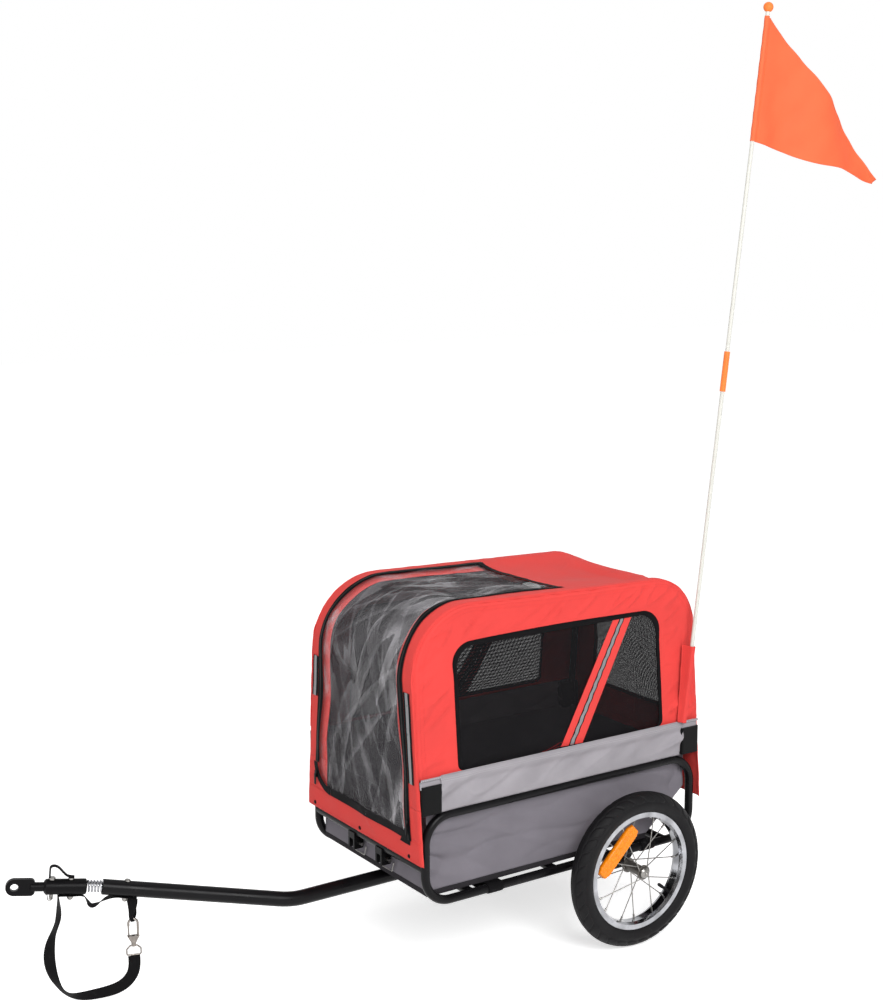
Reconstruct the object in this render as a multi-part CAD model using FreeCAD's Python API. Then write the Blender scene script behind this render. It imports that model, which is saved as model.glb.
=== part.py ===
import FreeCAD, Part
import math
import os

from FreeCAD import Placement, Rotation, Vector

# Dog bike trailer. +X points rearwards, +Y to the trailer's right and +Z up.
# The origin is on the ground under the middle of the axle. Lengths are millimetres, angles degrees.

# Clearances shared by all pieces
SEAT_GAP = 0.3
RUN_GAP = 0.05
BEND_REACH_share = 0.45
OVERRUN = 600.0

# Wheels
TYRE_DIA = 350.0
TYRE_WIDTH = 49.0
TYRE_WALL = 4.0
RIM_DIA = 266.0
RIM_WIDTH = 35.0
RIM_FLANGE = 9.0
RIM_WALL = 2.0
RIM_WELL_WIDTH = 18.0
RIM_WELL_DEPTH = 4.0
HUB_LENGTH = 58.0
HUB_BARREL_DIA = 23.0
HUB_END_DIA = 25.0
HUB_END_STEP = 1.5
HUB_FLANGE_DIA = 33.0
HUB_FLANGE_THICK = 3.0
HUB_CORE_DIA = 14.0
BEARING_DIA = 18.0
BEARING_WIDTH = 8.0
SPOKE_COUNT = 16
SPOKE_DIA = 2.4
SPOKE_CIRCLE_DIA = 27.0
SPOKE_SWEEP = 42.0
SPOKE_RIM_OFFSET = 4.0
NIPPLE_DIA = 4.4
NIPPLE_LENGTH = 11.0
REFLECTOR_LENGTH_share = 0.4962406
REFLECTOR_WIDTH = 30.0
REFLECTOR_THICK = 8.0
REFLECTOR_RADIUS_share = 0.3082707
REFLECTOR_ANGLE = 137.0
REFLECTOR_TILT = 4.0
REFLECTOR_OFFSET = 13.0
REFLECTOR_END_share = 0.45
VALVE_DIA = 7.0
VALVE_LENGTH = 34.0
VALVE_ANGLE = -38.0

# Axle and its quick-release buttons
AXLE_DIA = 12.0
AXLE_SOCKET = 70.0
AXLE_HEAD_DIA = 24.0
AXLE_HEAD_RIM = 2.5
AXLE_HEAD_DOME = 4.5
AXLE_DOME_share = 0.72
AXLE_COLLAR_DIA = 18.0
AXLE_TUBE_DIA = 22.0
AXLE_TUBE_STICK_OUT = 16.0
BUTTON_DIA = 9.0
BUTTON_LENGTH = 13.0
BUTTON_PROUD = 3.0
BUTTON_TRAVEL = 2.5
BUTTON_CROWN = 1.2

# Side frame loops and cross tubes
TUBE_DIA = 19.0
TUBE_WALL = 1.5
LOOP_LENGTH = 718.0
LOOP_HEIGHT = 187.0
LOOP_SPACING = 444.0
LOOP_BEND = 60.0
AXLE_PLACE_share = 0.7144847
LOOP_ABOVE_AXLE = 19.0
WHEEL_STAND_OFF = 60.0
POST_RISE = 11.0
CROSS_RISE = 1.8
CROSS_PLACE_shares = (0.1573816, 0.4637883, 0.8955432)
FRONT_CROSS_RISE = 76.0
BRACKET_THICK = 6.0
BRACKET_LENGTH = 92.0
BRACKET_DROP = 17.0
BRACKET_FOOT_DIA = 40.0

# Folding side hoops and their corner hinges
HOOP_DIA = 16.0
HOOP_WALL = 1.2
HOOP_LEAN = 5.0
HOOP_FRONT_HEIGHT = 393.0
HOOP_REAR_HEIGHT = 371.0
HOOP_FRONT_BEND = 140.0
HOOP_REAR_BEND = 95.0
HINGE_RISE = 32.0
HINGE_BOLT_DIA = 6.0
HINGE_HEAD_DIA = 11.0
HINGE_HEAD_THICK = 3.0
BLOCK_CHEEK = 5.5
BLOCK_LENGTH = 49.0
BLOCK_WIDTH = 28.0
BLOCK_HEIGHT = 61.0

# Canopy cloth
CLOTH = 2.5
FILM = 1.0
NET = 1.2
COVER_STAND_OFF = 17.6
COVER_FRONT_BEND = 148.0
COVER_REAR_BEND = 104.0
HEM_ABOVE_LOW_TUBE = 91.0
HEM_BAND = 50.0
ZIP_INSET = 44.0
CROSS_ZIP_share = 0.5473538
PANEL_BASE_RISE = 47.0
WINDOW_FRONT_share = 0.1211699
WINDOW_LENGTH_share = 0.7465181
WINDOW_BASE_RISE = 56.0
WINDOW_HEIGHT = 258.0
WINDOW_CORNER = 45.0
WINDOW_LOW_CORNER = 15.0
WINDOW_LAP = 8.0
REAR_WINDOW_WIDTH = 300.0
REAR_WINDOW_HEIGHT = 205.0
SKIRT_INSET = 4.0

# Tray and floor
TRAY_CLOTH = 2.0
FLOOR_THICK = 12.0
TRAY_RAMP_LENGTH = 118.0
TRAY_RAMP_RISE = 92.0
TRAY_TOP_LAP = 3.0
WEBBING_WIDTH = 38.0
WEBBING_THICK = 2.0
WEBBING_PLACE_shares = (0.2395543, 0.8231198)
WEBBING_TAIL = 60.0

# Tow arm, its clamps and the front receivers with their lock pins
ARM_DIA = 32.0
ARM_WALL = 2.0
ARM_SIDE = 12.0
ARM_BACK_share = 0.4986072
ARM_BEND_LEAD = 186.0
ARM_BEND_RADIUS = 150.0
ARM_SWING = 18.1
ARM_RISE = 11.1
ARM_LENGTH = 397.0
CLAMP_LENGTH = 28.0
CLAMP_WIDTH = 50.0
CLAMP_FLOOR = 4.0
RECEIVER_SPACING = 114.0
RECEIVER_SIZE = 26.0
RECEIVER_CHEEK = 5.5
RECEIVER_DROP = 28.0
LOCK_PIN_DIA = 8.0
LOCK_PIN_LENGTH = 52.0
LOCK_PIN_RISE = 13.0
LOCK_HEAD_DIA = 12.0
LOCK_HEAD_THICK = 3.5
LOCK_LUG_LENGTH = 9.0
LOCK_LUG_THICK = 3.0
LOCK_LUG_HEIGHT = 8.0
BAIL_DIA = 2.2
BAIL_DROP = 25.0
BAIL_BEND = 3.5
BAIL_SIDE = 5.2

# Hitch
HITCH_GAP = 30.0
COUPLER_DROOP = 5.0
SLEEVE_LENGTH = 86.0
SLEEVE_BEVEL = 4.0
SLEEVE_SOCKET = 44.0
SPRING_WIRE = 4.0
SPRING_DIA = 25.6
SPRING_TURNS = 8
SPRING_PITCH = 6.2
EYE_NECK_DIA = 19.0
EYE_REACH = 58.0
EYE_PLATE_WIDTH = 35.0
EYE_PLATE_LENGTH = 58.0
EYE_PLATE_THICK = 10.0
EYE_BORE_DIA = 16.0
HITCH_PIN_DIA = 8.0
HITCH_PIN_SETBACK = 15.0
HITCH_PIN_BELOW = 26.0
HITCH_HEAD_DIA = 14.0
HITCH_HEAD_THICK = 4.0
CLIP_DIA = 2.0
CLIP_LEG = 13.0
CLIP_GAP = 7.0
CLIP_TAIL = 22.0
CLIP_RISE = 5.0
BOLT_DIA = 6.0
BOLT_HEAD_DIA = 12.0
BOLT_HEAD_THICK = 3.5
DOME_NUT_DIA = 12.5
DOME_NUT_HEIGHT = 10.0
SLEEVE_BOLT_SETBACK = 53.0
ARM_BOLT_SETBACK = 49.0
LANYARD_WIDTH = 8.0
LANYARD_THICK = 2.5
LANYARD_HEIGHT = 24.0
LANYARD_BEND = 7.0

# Safety strap, its run under the hitch and the snap hook
STRAP_WIDTH = 25.0
STRAP_THICK = 2.0
RUN_WIDTH = 22.0
RUN_SLACK_DROP = 24.0
RUN_SLACK_LENGTH = 62.0
RUN_BEND = 9.0
RUN_NOSE = 24.0
RUN_BACK = 14.0
LOOP_DROP = 50.0
LOOP_INNER_DIA = 15.0
LOOP_WIDTH = 8.0
HOOK_WIRE = 5.0
HOOK_LENGTH = 50.0
HOOK_WIDTH = 24.0
HOOK_BASE_LENGTH = 14.0
HOOK_GATE_DIA = 3.6
SWIVEL_DIA = 6.0
SWIVEL_LENGTH = 8.0
SWIVEL_HEAD_DIA = 10.0
RING_WIRE = 3.4
RING_WIDTH = 29.0
RING_HEIGHT = 20.0
# Route of the hanging strap in the hitch's upright plane: distance ahead of the ring, and height above ground
STRAP_ROUTE = (
    (0.0, 84.0),
    (-2.0, 60.0),
    (14.0, 34.0),
    (40.0, 16.0),
    (80.0, 7.0),
    (120.0, 8.0),
    (150.0, 24.0),
    (168.0, 52.0),
    (178.0, 86.0),
    (179.0, 120.0),
    (170.0, 153.0),
    (157.0, 184.0),
    (153.0, 214.0),
    (154.6, 239.0),
)

# Zip sliders
SLIDER_LENGTH = 14.0
SLIDER_WIDTH = 9.0
SLIDER_THICK = 5.0
PULL_LENGTH = 24.0
PULL_WIDTH = 6.0
PULL_THICK = 2.0
SLIDER_RISE = 25.0

# Flag
POLE_DIA = 9.0
POLE_LEAN = 7.4
POLE_HALF_LENGTH = 790.0
POLE_FOOT_RISE = 60.0
POLE_FOOT_INSET = 38.0
POLE_CLEARANCE = 0.6
FERRULE_DIA = 13.0
FERRULE_LENGTH = 88.0
POCKET_WIDTH = 24.0
POCKET_LENGTH = 172.0
POCKET_WALL = 3.0
BALL_DIA = 22.0
FLAG_HOIST = 268.0
FLAG_FLY = 405.0
FLAG_THICK = 1.2
FLAG_WAVE = 14.0
FLAG_FOLDS = 4
FLAG_TIP_DROP = 60.0
FLAG_TOP_GAP = 8.0

os.makedirs("parts", exist_ok=True)

# Places worked out from the driving sizes
X_AXIS = Vector(1, 0, 0)
Y_AXIS = Vector(0, 1, 0)
Z_AXIS = Vector(0, 0, 1)
ORIGIN = Vector(0, 0, 0)
axle_z = TYRE_DIA / 2
half = LOOP_SPACING / 2
front_x = -LOOP_LENGTH * AXLE_PLACE_share
rear_x = front_x + LOOP_LENGTH
low_z = axle_z + LOOP_ABOVE_AXLE
high_z = low_z + LOOP_HEIGHT
tube_r = TUBE_DIA / 2
hoop_r = HOOP_DIA / 2
arm_r = ARM_DIA / 2
wheel_y = half + WHEEL_STAND_OFF
hinge_z = high_z + HINGE_RISE
cross_z = low_z + CROSS_RISE
front_cross_z = low_z + FRONT_CROSS_RISE
arm_z = cross_z - tube_r - arm_r - SEAT_GAP
hem_z = low_z + HEM_ABOVE_LOW_TUBE


def save(name, *solids):
    """Writes one named piece, made of one or more separate solids."""
    shape = solids[0] if len(solids) == 1 else Part.makeCompound(list(solids))
    shape.exportStep("parts/" + name + ".step")
    print(name, "solids", len(shape.Solids), "valid", shape.isValid(), "volume", round(shape.Volume))


def cylinder(radius, start, end):
    """A round bar from one point to another."""
    return Part.makeCylinder(radius, (end - start).Length, start, end - start)


def box(low, high):
    """A block between two opposite corners."""
    return Part.makeBox(high.x - low.x, high.y - low.y, high.z - low.z, low)


def chain(start, *steps):
    """A wire from a start point, each step a line to (end,) or an arc through (middle, end)."""
    edges = []
    for step in steps:
        if len(step) == 1:
            edges.append(Part.LineSegment(start, step[0]).toShape())
        else:
            edges.append(Part.Arc(start, step[0], step[1]).toShape())
        start = step[-1]
    return Part.Wire(edges)


def rounded_path(points, radii, closed=False):
    """Straight runs through the points, joined by tangent arcs of the given radii."""
    count = len(points)
    corners = []
    for index, point in enumerate(points):
        ends = not closed and index in (0, count - 1)
        radius = 0 if ends else radii[index]
        if radius <= 0:
            corners.append((point, point, point))
            continue
        back = (points[index - 1] - point).normalize()
        ahead = (points[(index + 1) % count] - point).normalize()
        half_turn = (math.pi - back.getAngle(ahead)) / 2
        reach = radius * math.tan(half_turn)
        middle = (back + ahead).normalize()
        bow = radius / math.cos(half_turn) - radius
        corners.append((point + back * reach, point + middle * bow, point + ahead * reach))
    edges = []
    for index in range(count):
        first, bow_point, last = corners[index]
        if (last - first).Length > 0:
            edges.append(Part.Arc(first, bow_point, last).toShape())
        following = corners[(index + 1) % count][0]
        if (closed or index < count - 1) and (following - last).Length > RUN_GAP:
            edges.append(Part.LineSegment(last, following).toShape())
    return Part.Wire(edges)


def pipe(path, radius):
    """A round bar carried along a path."""
    first = path.Edges[0]
    start = first.valueAt(first.FirstParameter)
    heading = first.tangentAt(first.FirstParameter)
    section = Part.Wire(Part.Circle(start, heading, radius).toShape())
    return path.makePipeShell([section], True, False)


def tube(path, outer, wall):
    """A hollow tube carried along a path."""
    return pipe(path, outer).cut(pipe(path, outer - wall))


def prism(points, reach, radii=None):
    """A plate whose outline runs through the points, pulled along a vector."""
    radii = radii or [0] * len(points)
    return Part.Face(rounded_path(points, radii, True)).extrude(reach)


def ribbon(path_points, radii, thick, width, side):
    """A flat strap of one thickness along a path in a plane, centred across its width on the side axis."""
    path = rounded_path(path_points, radii)
    first = path.Edges[0]
    start = first.valueAt(first.FirstParameter)
    heading = first.tangentAt(first.FirstParameter)
    across = side * (width / 2)
    lift = heading.cross(side).normalize() * (thick / 2)
    corners = [start + across + lift, start - across + lift, start - across - lift, start + across - lift]
    section = Part.makePolygon(corners + corners[:1])
    return path.makePipeShell([section], True, False)


def turned(wire):
    """A ring or disc turned about the Y axis from a closed outline in the XY plane."""
    return Part.Face(wire).revolve(ORIGIN, Y_AXIS, 360)


def moved(shape, placement):
    """A copy of a shape at a placement."""
    copy = shape.copy()
    copy.Placement = placement.multiply(copy.Placement)
    return copy


def other_side(shape):
    """The same piece mirrored to the trailer's other side."""
    return shape.mirror(ORIGIN, Y_AXIS)


def half_turned(shape):
    """The same piece turned half round the upright axis, so its outer face stays outside."""
    return moved(shape, Placement(ORIGIN, Rotation(Z_AXIS, 180)))


# Side frame: each side is one closed loop of bent tube with two welded posts under the hinges
def side_loop():
    corners = [
        Vector(front_x, -half, low_z),
        Vector(rear_x, -half, low_z),
        Vector(rear_x, -half, high_z),
        Vector(front_x, -half, high_z),
    ]
    path = rounded_path(corners, [LOOP_BEND] * len(corners), True)
    outer = pipe(path, tube_r)
    posts = [
        cylinder(tube_r, Vector(x, -half, high_z - LOOP_BEND), Vector(x, -half, high_z + POST_RISE))
        for x in (front_x, rear_x)
    ]
    bore = pipe(path, tube_r - TUBE_WALL)
    return outer.fuse(posts).cut(bore), outer.fuse(posts)


left_loop, left_loop_full = side_loop()
right_loop_full = other_side(left_loop_full)
save("left_side_loop", left_loop)
save("right_side_loop", other_side(left_loop))


def cross_tube(x, z):
    """A straight tube from loop to loop, its ends shaped to the loops."""
    start = Vector(x, -half, z)
    end = Vector(x, half, z)
    bar = cylinder(tube_r, start, end).cut(cylinder(tube_r - TUBE_WALL, start, end))
    return bar.cut(left_loop_full).cut(right_loop_full)


cross_places = [(front_x, front_cross_z)]
cross_places += [(front_x + LOOP_LENGTH * share, cross_z) for share in CROSS_PLACE_shares]
save("cross_tubes", *[cross_tube(x, z) for x, z in cross_places])

# Axle: a tube across the frame, two hanging brackets and a stub axle plugged into each end
axle_end = half + AXLE_TUBE_STICK_OUT
axle_bar = cylinder(AXLE_TUBE_DIA / 2, Vector(0, -axle_end, axle_z), Vector(0, axle_end, axle_z))
axle_bore_r = AXLE_DIA / 2 + RUN_GAP
axle_bore = cylinder(axle_bore_r, Vector(0, -axle_end, axle_z), Vector(0, axle_end, axle_z))
axle_tube = axle_bar.cut(axle_bore).cut(left_loop_full).cut(right_loop_full)


def axle_bracket():
    foot_r = BRACKET_FOOT_DIA / 2
    near_y = -half - BRACKET_THICK / 2
    corners = [
        Vector(-BRACKET_LENGTH / 2, near_y, low_z),
        Vector(-foot_r, near_y, axle_z - BRACKET_DROP),
        Vector(foot_r, near_y, axle_z - BRACKET_DROP),
        Vector(BRACKET_LENGTH / 2, near_y, low_z),
    ]
    radii = [0, foot_r / 2, foot_r / 2, 0]
    plate = prism(corners, Y_AXIS * BRACKET_THICK, radii)
    return plate.cut(left_loop_full).cut(axle_bar)


bracket = axle_bracket()
save("axle_beam", axle_tube, bracket, other_side(bracket))

hub_half = HUB_LENGTH / 2
head_base = wheel_y + hub_half + 2 * SEAT_GAP


def stub_axle():
    """A stub axle with a collar against the tube and a domed head with a bore for its button."""
    head_r = AXLE_HEAD_DIA / 2
    shaft_r = AXLE_DIA / 2
    head_rim = head_base + AXLE_HEAD_RIM
    tip = head_rim + AXLE_HEAD_DOME
    dome = Vector(head_r * AXLE_DOME_share, -head_rim - AXLE_HEAD_DOME * AXLE_DOME_share, 0)
    collar_start = axle_end + SEAT_GAP
    collar_end = wheel_y - hub_half - SEAT_GAP
    wire = chain(
        Vector(0, -axle_end + AXLE_SOCKET, 0),
        (Vector(shaft_r, -axle_end + AXLE_SOCKET, 0),),
        (Vector(shaft_r, -collar_start, 0),),
        (Vector(AXLE_COLLAR_DIA / 2, -collar_start, 0),),
        (Vector(AXLE_COLLAR_DIA / 2, -collar_end, 0),),
        (Vector(shaft_r, -collar_end, 0),),
        (Vector(shaft_r, -head_base, 0),),
        (Vector(head_r, -head_base, 0),),
        (Vector(head_r, -head_rim, 0),),
        (dome, Vector(0, -tip, 0)),
        (Vector(0, -axle_end + AXLE_SOCKET, 0),),
    )
    bar = turned(wire)
    bore_floor = tip + BUTTON_PROUD - BUTTON_LENGTH - BUTTON_TRAVEL - SEAT_GAP
    bore = cylinder(BUTTON_DIA / 2 + RUN_GAP, Vector(0, -bore_floor, 0), Vector(0, -tip - OVERRUN, 0))
    return bar.cut(bore), tip


axle, axle_tip = stub_axle()
axle = moved(axle, Placement(Vector(0, 0, axle_z), Rotation()))
save("stub_axles", axle, half_turned(axle))


def release_button():
    button_r = BUTTON_DIA / 2
    top = axle_tip + BUTTON_PROUD
    wire = chain(
        Vector(0, BUTTON_LENGTH - top, 0),
        (Vector(button_r, BUTTON_LENGTH - top, 0),),
        (Vector(button_r, BUTTON_CROWN - top, 0),),
        (Vector(button_r - BUTTON_CROWN, -top, 0),),
        (Vector(0, -top, 0),),
        (Vector(0, BUTTON_LENGTH - top, 0),),
    )
    return moved(turned(wire), Placement(Vector(0, 0, axle_z), Rotation()))


button = release_button()
save("left_release_button", button)
save("right_release_button", half_turned(button))


def hub_bearing(middle_y):
    reach = Y_AXIS * (BEARING_WIDTH / 2)
    middle = Vector(0, -middle_y, axle_z)
    ring = cylinder(BEARING_DIA / 2, middle - reach, middle + reach)
    return ring.cut(cylinder(AXLE_DIA / 2 + RUN_GAP, middle - reach, middle + reach))


bearing_offset = hub_half - BEARING_WIDTH / 2 - SEAT_GAP
bearings = [hub_bearing(wheel_y - bearing_offset), hub_bearing(wheel_y + bearing_offset)]
save("hub_bearings", *bearings, *[half_turned(bearing) for bearing in bearings])


# Wheel pieces, made about the origin with the outer face towards -Y
def wheel_hub():
    bore = BEARING_DIA / 2 + RUN_GAP
    core = HUB_CORE_DIA / 2
    barrel = HUB_BARREL_DIA / 2
    end = HUB_END_DIA / 2
    flange = HUB_FLANGE_DIA / 2
    seat = hub_half - BEARING_WIDTH - 2 * SEAT_GAP
    outer = hub_half - HUB_END_STEP
    inner = outer - HUB_FLANGE_THICK
    rising = [(core, seat), (bore, seat), (bore, hub_half), (end, hub_half), (end, outer), (flange, outer)]
    rising += [(flange, inner), (barrel, inner)]
    points = [Vector(r, y, 0) for r, y in rising]
    points += [Vector(r, -y, 0) for r, y in reversed(rising)]
    return turned(Part.makePolygon(points + points[:1]))


def wheel_rim():
    lip = RIM_DIA / 2
    bed = lip - RIM_FLANGE
    well = bed - RIM_WELL_DEPTH
    edge = RIM_WIDTH / 2
    inside = edge - RIM_WALL
    flat = RIM_WELL_WIDTH / 2
    upper = [(lip, edge), (lip, inside), (bed, inside), (well, flat - RIM_WALL / 2)]
    lower = [(well - RIM_WALL, flat), (bed - RIM_WALL, edge)]
    points = [Vector(r, y, 0) for r, y in upper]
    points += [Vector(r, -y, 0) for r, y in reversed(upper)]
    points += [Vector(r, -y, 0) for r, y in reversed(lower)]
    points += [Vector(r, y, 0) for r, y in lower]
    return turned(Part.makePolygon(points + points[:1]))


def wheel_tyre():
    """A hollow round tyre body, open between its two beads."""
    bulge = TYRE_WIDTH / 2
    middle = TYRE_DIA / 2 - bulge
    bead_r = RIM_DIA / 2 - RIM_FLANGE + SEAT_GAP
    bead_y = RIM_WIDTH / 2 - RIM_WALL - SEAT_GAP
    lip_r = RIM_DIA / 2 + 2 * SEAT_GAP
    reach = Y_AXIS * TYRE_WIDTH
    hollow = Part.makeTorus(middle, bulge - TYRE_WALL, ORIGIN, Y_AXIS)
    shell = Part.makeTorus(middle, bulge, ORIGIN, Y_AXIS).cut(hollow)
    shell = shell.cut(cylinder(lip_r, ORIGIN - reach, ORIGIN + reach))
    beads = []
    for side in (-1, 1):
        outer = Vector(0, side * bead_y, 0)
        inner = Vector(0, side * (bead_y - TYRE_WALL), 0)
        bead = cylinder(lip_r + TYRE_WALL / 2, inner, outer)
        beads.append(bead.cut(cylinder(bead_r, inner, outer)))
    return shell.fuse(beads)


def polar(radius, angle, y):
    """A point of the wheel at a radius and an angle up from the rear."""
    turn = math.radians(angle)
    return Vector(radius * math.cos(turn), y, radius * math.sin(turn))


def wheel_spokes(rim, hub):
    """Spokes lean alternately forwards and backwards, each lying against one face of a hub flange."""
    spoke_r = SPOKE_DIA / 2
    flange_y = hub_half - HUB_END_STEP - HUB_FLANGE_THICK / 2
    face = HUB_FLANGE_THICK / 2 + spoke_r + RUN_GAP
    rim_r = RIM_DIA / 2 - RIM_FLANGE - RIM_WELL_DEPTH - RIM_WALL / 2
    spokes = []
    for index in range(SPOKE_COUNT):
        side = 1 if index % 2 == 0 else -1
        lead = 1 if (index // 2) % 2 == 0 else -1
        angle = 360 * index / SPOKE_COUNT
        root = polar(SPOKE_CIRCLE_DIA / 2, angle + lead * SPOKE_SWEEP, side * (flange_y + lead * face))
        tip = polar(rim_r, angle, side * SPOKE_RIM_OFFSET)
        along = (tip - root).normalize()
        nipple = cylinder(NIPPLE_DIA / 2, tip - along * NIPPLE_LENGTH, tip)
        spokes.append(cylinder(spoke_r, root, tip).fuse(nipple).cut(rim).cut(hub))
    return spokes


def wheel_reflector(spokes):
    """A long reflector clipped over the outer spokes, with its ends cut on the slant."""
    middle = polar(RIM_DIA * REFLECTOR_RADIUS_share, REFLECTOR_ANGLE, 0)
    long_half = RIM_DIA * REFLECTOR_LENGTH_share / 2
    wide_half = REFLECTOR_WIDTH / 2
    short_half = long_half - wide_half * REFLECTOR_END_share
    corners = [
        Vector(-long_half, 0, -wide_half * REFLECTOR_END_share),
        Vector(-short_half, 0, -wide_half),
        Vector(short_half, 0, -wide_half),
        Vector(long_half, 0, -wide_half * REFLECTOR_END_share),
        Vector(long_half, 0, wide_half * REFLECTOR_END_share),
        Vector(short_half, 0, wide_half),
        Vector(-short_half, 0, wide_half),
        Vector(-long_half, 0, wide_half * REFLECTOR_END_share),
    ]
    plate = prism(corners, Y_AXIS * REFLECTOR_THICK)
    outer_y = -REFLECTOR_OFFSET
    turn = Rotation(Y_AXIS, 90 - REFLECTOR_ANGLE - REFLECTOR_TILT)
    plate = moved(plate, Placement(middle + Y_AXIS * (outer_y - REFLECTOR_THICK / 2), turn))
    return plate.cut(Part.makeCompound(spokes))


def wheel_valve():
    top = RIM_DIA / 2 - RIM_FLANGE - RIM_WELL_DEPTH - RIM_WALL - RUN_GAP
    return cylinder(VALVE_DIA / 2, polar(top - VALVE_LENGTH, VALVE_ANGLE, 0), polar(top, VALVE_ANGLE, 0))


wheel_at = Placement(Vector(0, -wheel_y, axle_z), Rotation())
rim_solid = wheel_rim()
hub_solid = wheel_hub()
spoke_solids = wheel_spokes(rim_solid, hub_solid)
wheel_pieces = {
    "tyre": [wheel_tyre(), wheel_valve()],
    "rim": [rim_solid],
    "hub": [hub_solid],
    "spokes": spoke_solids,
    "reflector": [wheel_reflector(spoke_solids)],
}
for piece, solids in wheel_pieces.items():
    placed = [moved(solid, wheel_at) for solid in solids]
    save("left_" + piece, *placed)
    save("right_" + piece, *[half_turned(solid) for solid in placed])

# Corner hinges: a moulded block on each post, open towards the inside, with a bolt along X
slot_r = hoop_r + 2 * SEAT_GAP
block_z = high_z + POST_RISE


def hinge_block(x, inward):
    """A block on the post at x, whose long end points inward along X."""
    far_x = x + inward * (BLOCK_LENGTH - slot_r - BLOCK_CHEEK)
    near_x = x - inward * (slot_r + BLOCK_CHEEK)
    low = Vector(min(far_x, near_x), -half - BLOCK_WIDTH / 2, block_z)
    high = Vector(max(far_x, near_x), -half + BLOCK_WIDTH / 2, block_z + BLOCK_HEIGHT)
    solid = box(low, high)
    corners = [edge for edge in solid.Edges if edge.BoundBox.ZLength > BLOCK_CHEEK]
    solid = solid.makeFillet(BLOCK_CHEEK, corners)
    slot_low = Vector(x - slot_r, -half - slot_r, hinge_z - slot_r)
    slot_high = Vector(x + slot_r, -half + OVERRUN, hinge_z + OVERRUN)
    bolt_r = HINGE_BOLT_DIA / 2
    bolt_hole = cylinder(bolt_r, Vector(low.x, -half, hinge_z), Vector(high.x, -half, hinge_z))
    return solid.cut(box(slot_low, slot_high)).cut(bolt_hole).cut(left_loop_full), low.x, high.x


def hinge_bolt(low_x, high_x):
    """A bolt through the block with a head on one face and a nut on the other."""
    start = Vector(low_x - HINGE_HEAD_THICK, -half, hinge_z)
    end = Vector(high_x + HINGE_HEAD_THICK, -half, hinge_z)
    head_r = HINGE_HEAD_DIA / 2
    bolt = cylinder(HINGE_BOLT_DIA / 2, start, end)
    head = cylinder(head_r, start, start + X_AXIS * HINGE_HEAD_THICK)
    return bolt.fuse([head, cylinder(head_r, end - X_AXIS * HINGE_HEAD_THICK, end)])


blocks = []
bolts = []
for post_x, inward in ((front_x, 1), (rear_x, -1)):
    block, block_low, block_high = hinge_block(post_x, inward)
    bolt = hinge_bolt(block_low, block_high)
    blocks += [block, other_side(block)]
    bolts += [bolt, other_side(bolt)]
save("hinge_blocks", *blocks)
save("hinge_bolts", *bolts)

# Side hoops and the cloth that rides on them, made upright at the hinge and then leaned inwards
hoop_at = Placement(Vector(0, -half, hinge_z), Rotation(X_AXIS, -HOOP_LEAN))
roof_slope = (HOOP_REAR_HEIGHT - HOOP_FRONT_HEIGHT) / LOOP_LENGTH


def side_hoop():
    corners = [
        Vector(front_x, 0, 0),
        Vector(front_x, 0, HOOP_FRONT_HEIGHT),
        Vector(rear_x, 0, HOOP_REAR_HEIGHT),
        Vector(rear_x, 0, 0),
    ]
    path = rounded_path(corners, [0, HOOP_FRONT_BEND, HOOP_REAR_BEND, 0])
    feet = [Part.makeSphere(hoop_r, Vector(x, 0, 0)) for x in (front_x, rear_x)]
    hoop = pipe(path, hoop_r).fuse(feet).cut(pipe(path, hoop_r - HOOP_WALL))
    bolt_r = HINGE_BOLT_DIA / 2 + RUN_GAP
    hole = cylinder(bolt_r, Vector(front_x - OVERRUN, 0, 0), Vector(rear_x + OVERRUN, 0, 0))
    return hoop.cut(hole)


hoop = moved(side_hoop(), hoop_at)
save("left_hoop", hoop)
save("right_hoop", other_side(hoop))

cover_front = front_x - COVER_STAND_OFF
cover_rear = rear_x + COVER_STAND_OFF
panel_inner = hoop_r + SEAT_GAP
panel_outer = panel_inner + CLOTH
window_radii = [WINDOW_LOW_CORNER, WINDOW_LOW_CORNER, WINDOW_CORNER, WINDOW_CORNER]


def hoop_height(x):
    """Height of the hoop's sloping top run above the hinge, at a place along X."""
    return HOOP_FRONT_HEIGHT + roof_slope * (x - front_x)


def window_outline(y, lap):
    window_x = front_x + LOOP_LENGTH * WINDOW_FRONT_share
    low_x = window_x - lap
    high_x = window_x + LOOP_LENGTH * WINDOW_LENGTH_share + lap
    base = WINDOW_BASE_RISE - lap
    top = WINDOW_BASE_RISE + WINDOW_HEIGHT + lap
    return [Vector(low_x, y, base), Vector(high_x, y, base), Vector(high_x, y, top), Vector(low_x, y, top)]


def side_panel():
    front_edge = cover_front - CLOTH
    rear_edge = cover_rear + CLOTH
    corners = [
        Vector(front_edge, -panel_outer, PANEL_BASE_RISE),
        Vector(rear_edge, -panel_outer, PANEL_BASE_RISE),
        Vector(rear_edge, -panel_outer, hoop_height(rear_edge) + panel_outer),
        Vector(front_edge, -panel_outer, hoop_height(front_edge) + panel_outer),
    ]
    radii = [0, 0, COVER_REAR_BEND + CLOTH, COVER_FRONT_BEND + CLOTH]
    cloth = prism(corners, Y_AXIS * CLOTH, radii)
    hole = prism(window_outline(-panel_outer, 0), Y_AXIS * CLOTH, window_radii)
    return cloth.cut(hole)


def window_net():
    start = -panel_inner + SEAT_GAP
    return prism(window_outline(start, WINDOW_LAP), Y_AXIS * NET, window_radii)


panel = moved(side_panel(), hoop_at)
net = moved(window_net(), hoop_at)
save("left_side_panel", panel)
save("right_side_panel", other_side(panel))
save("left_window_net", net)
save("right_window_net", other_side(net))


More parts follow.
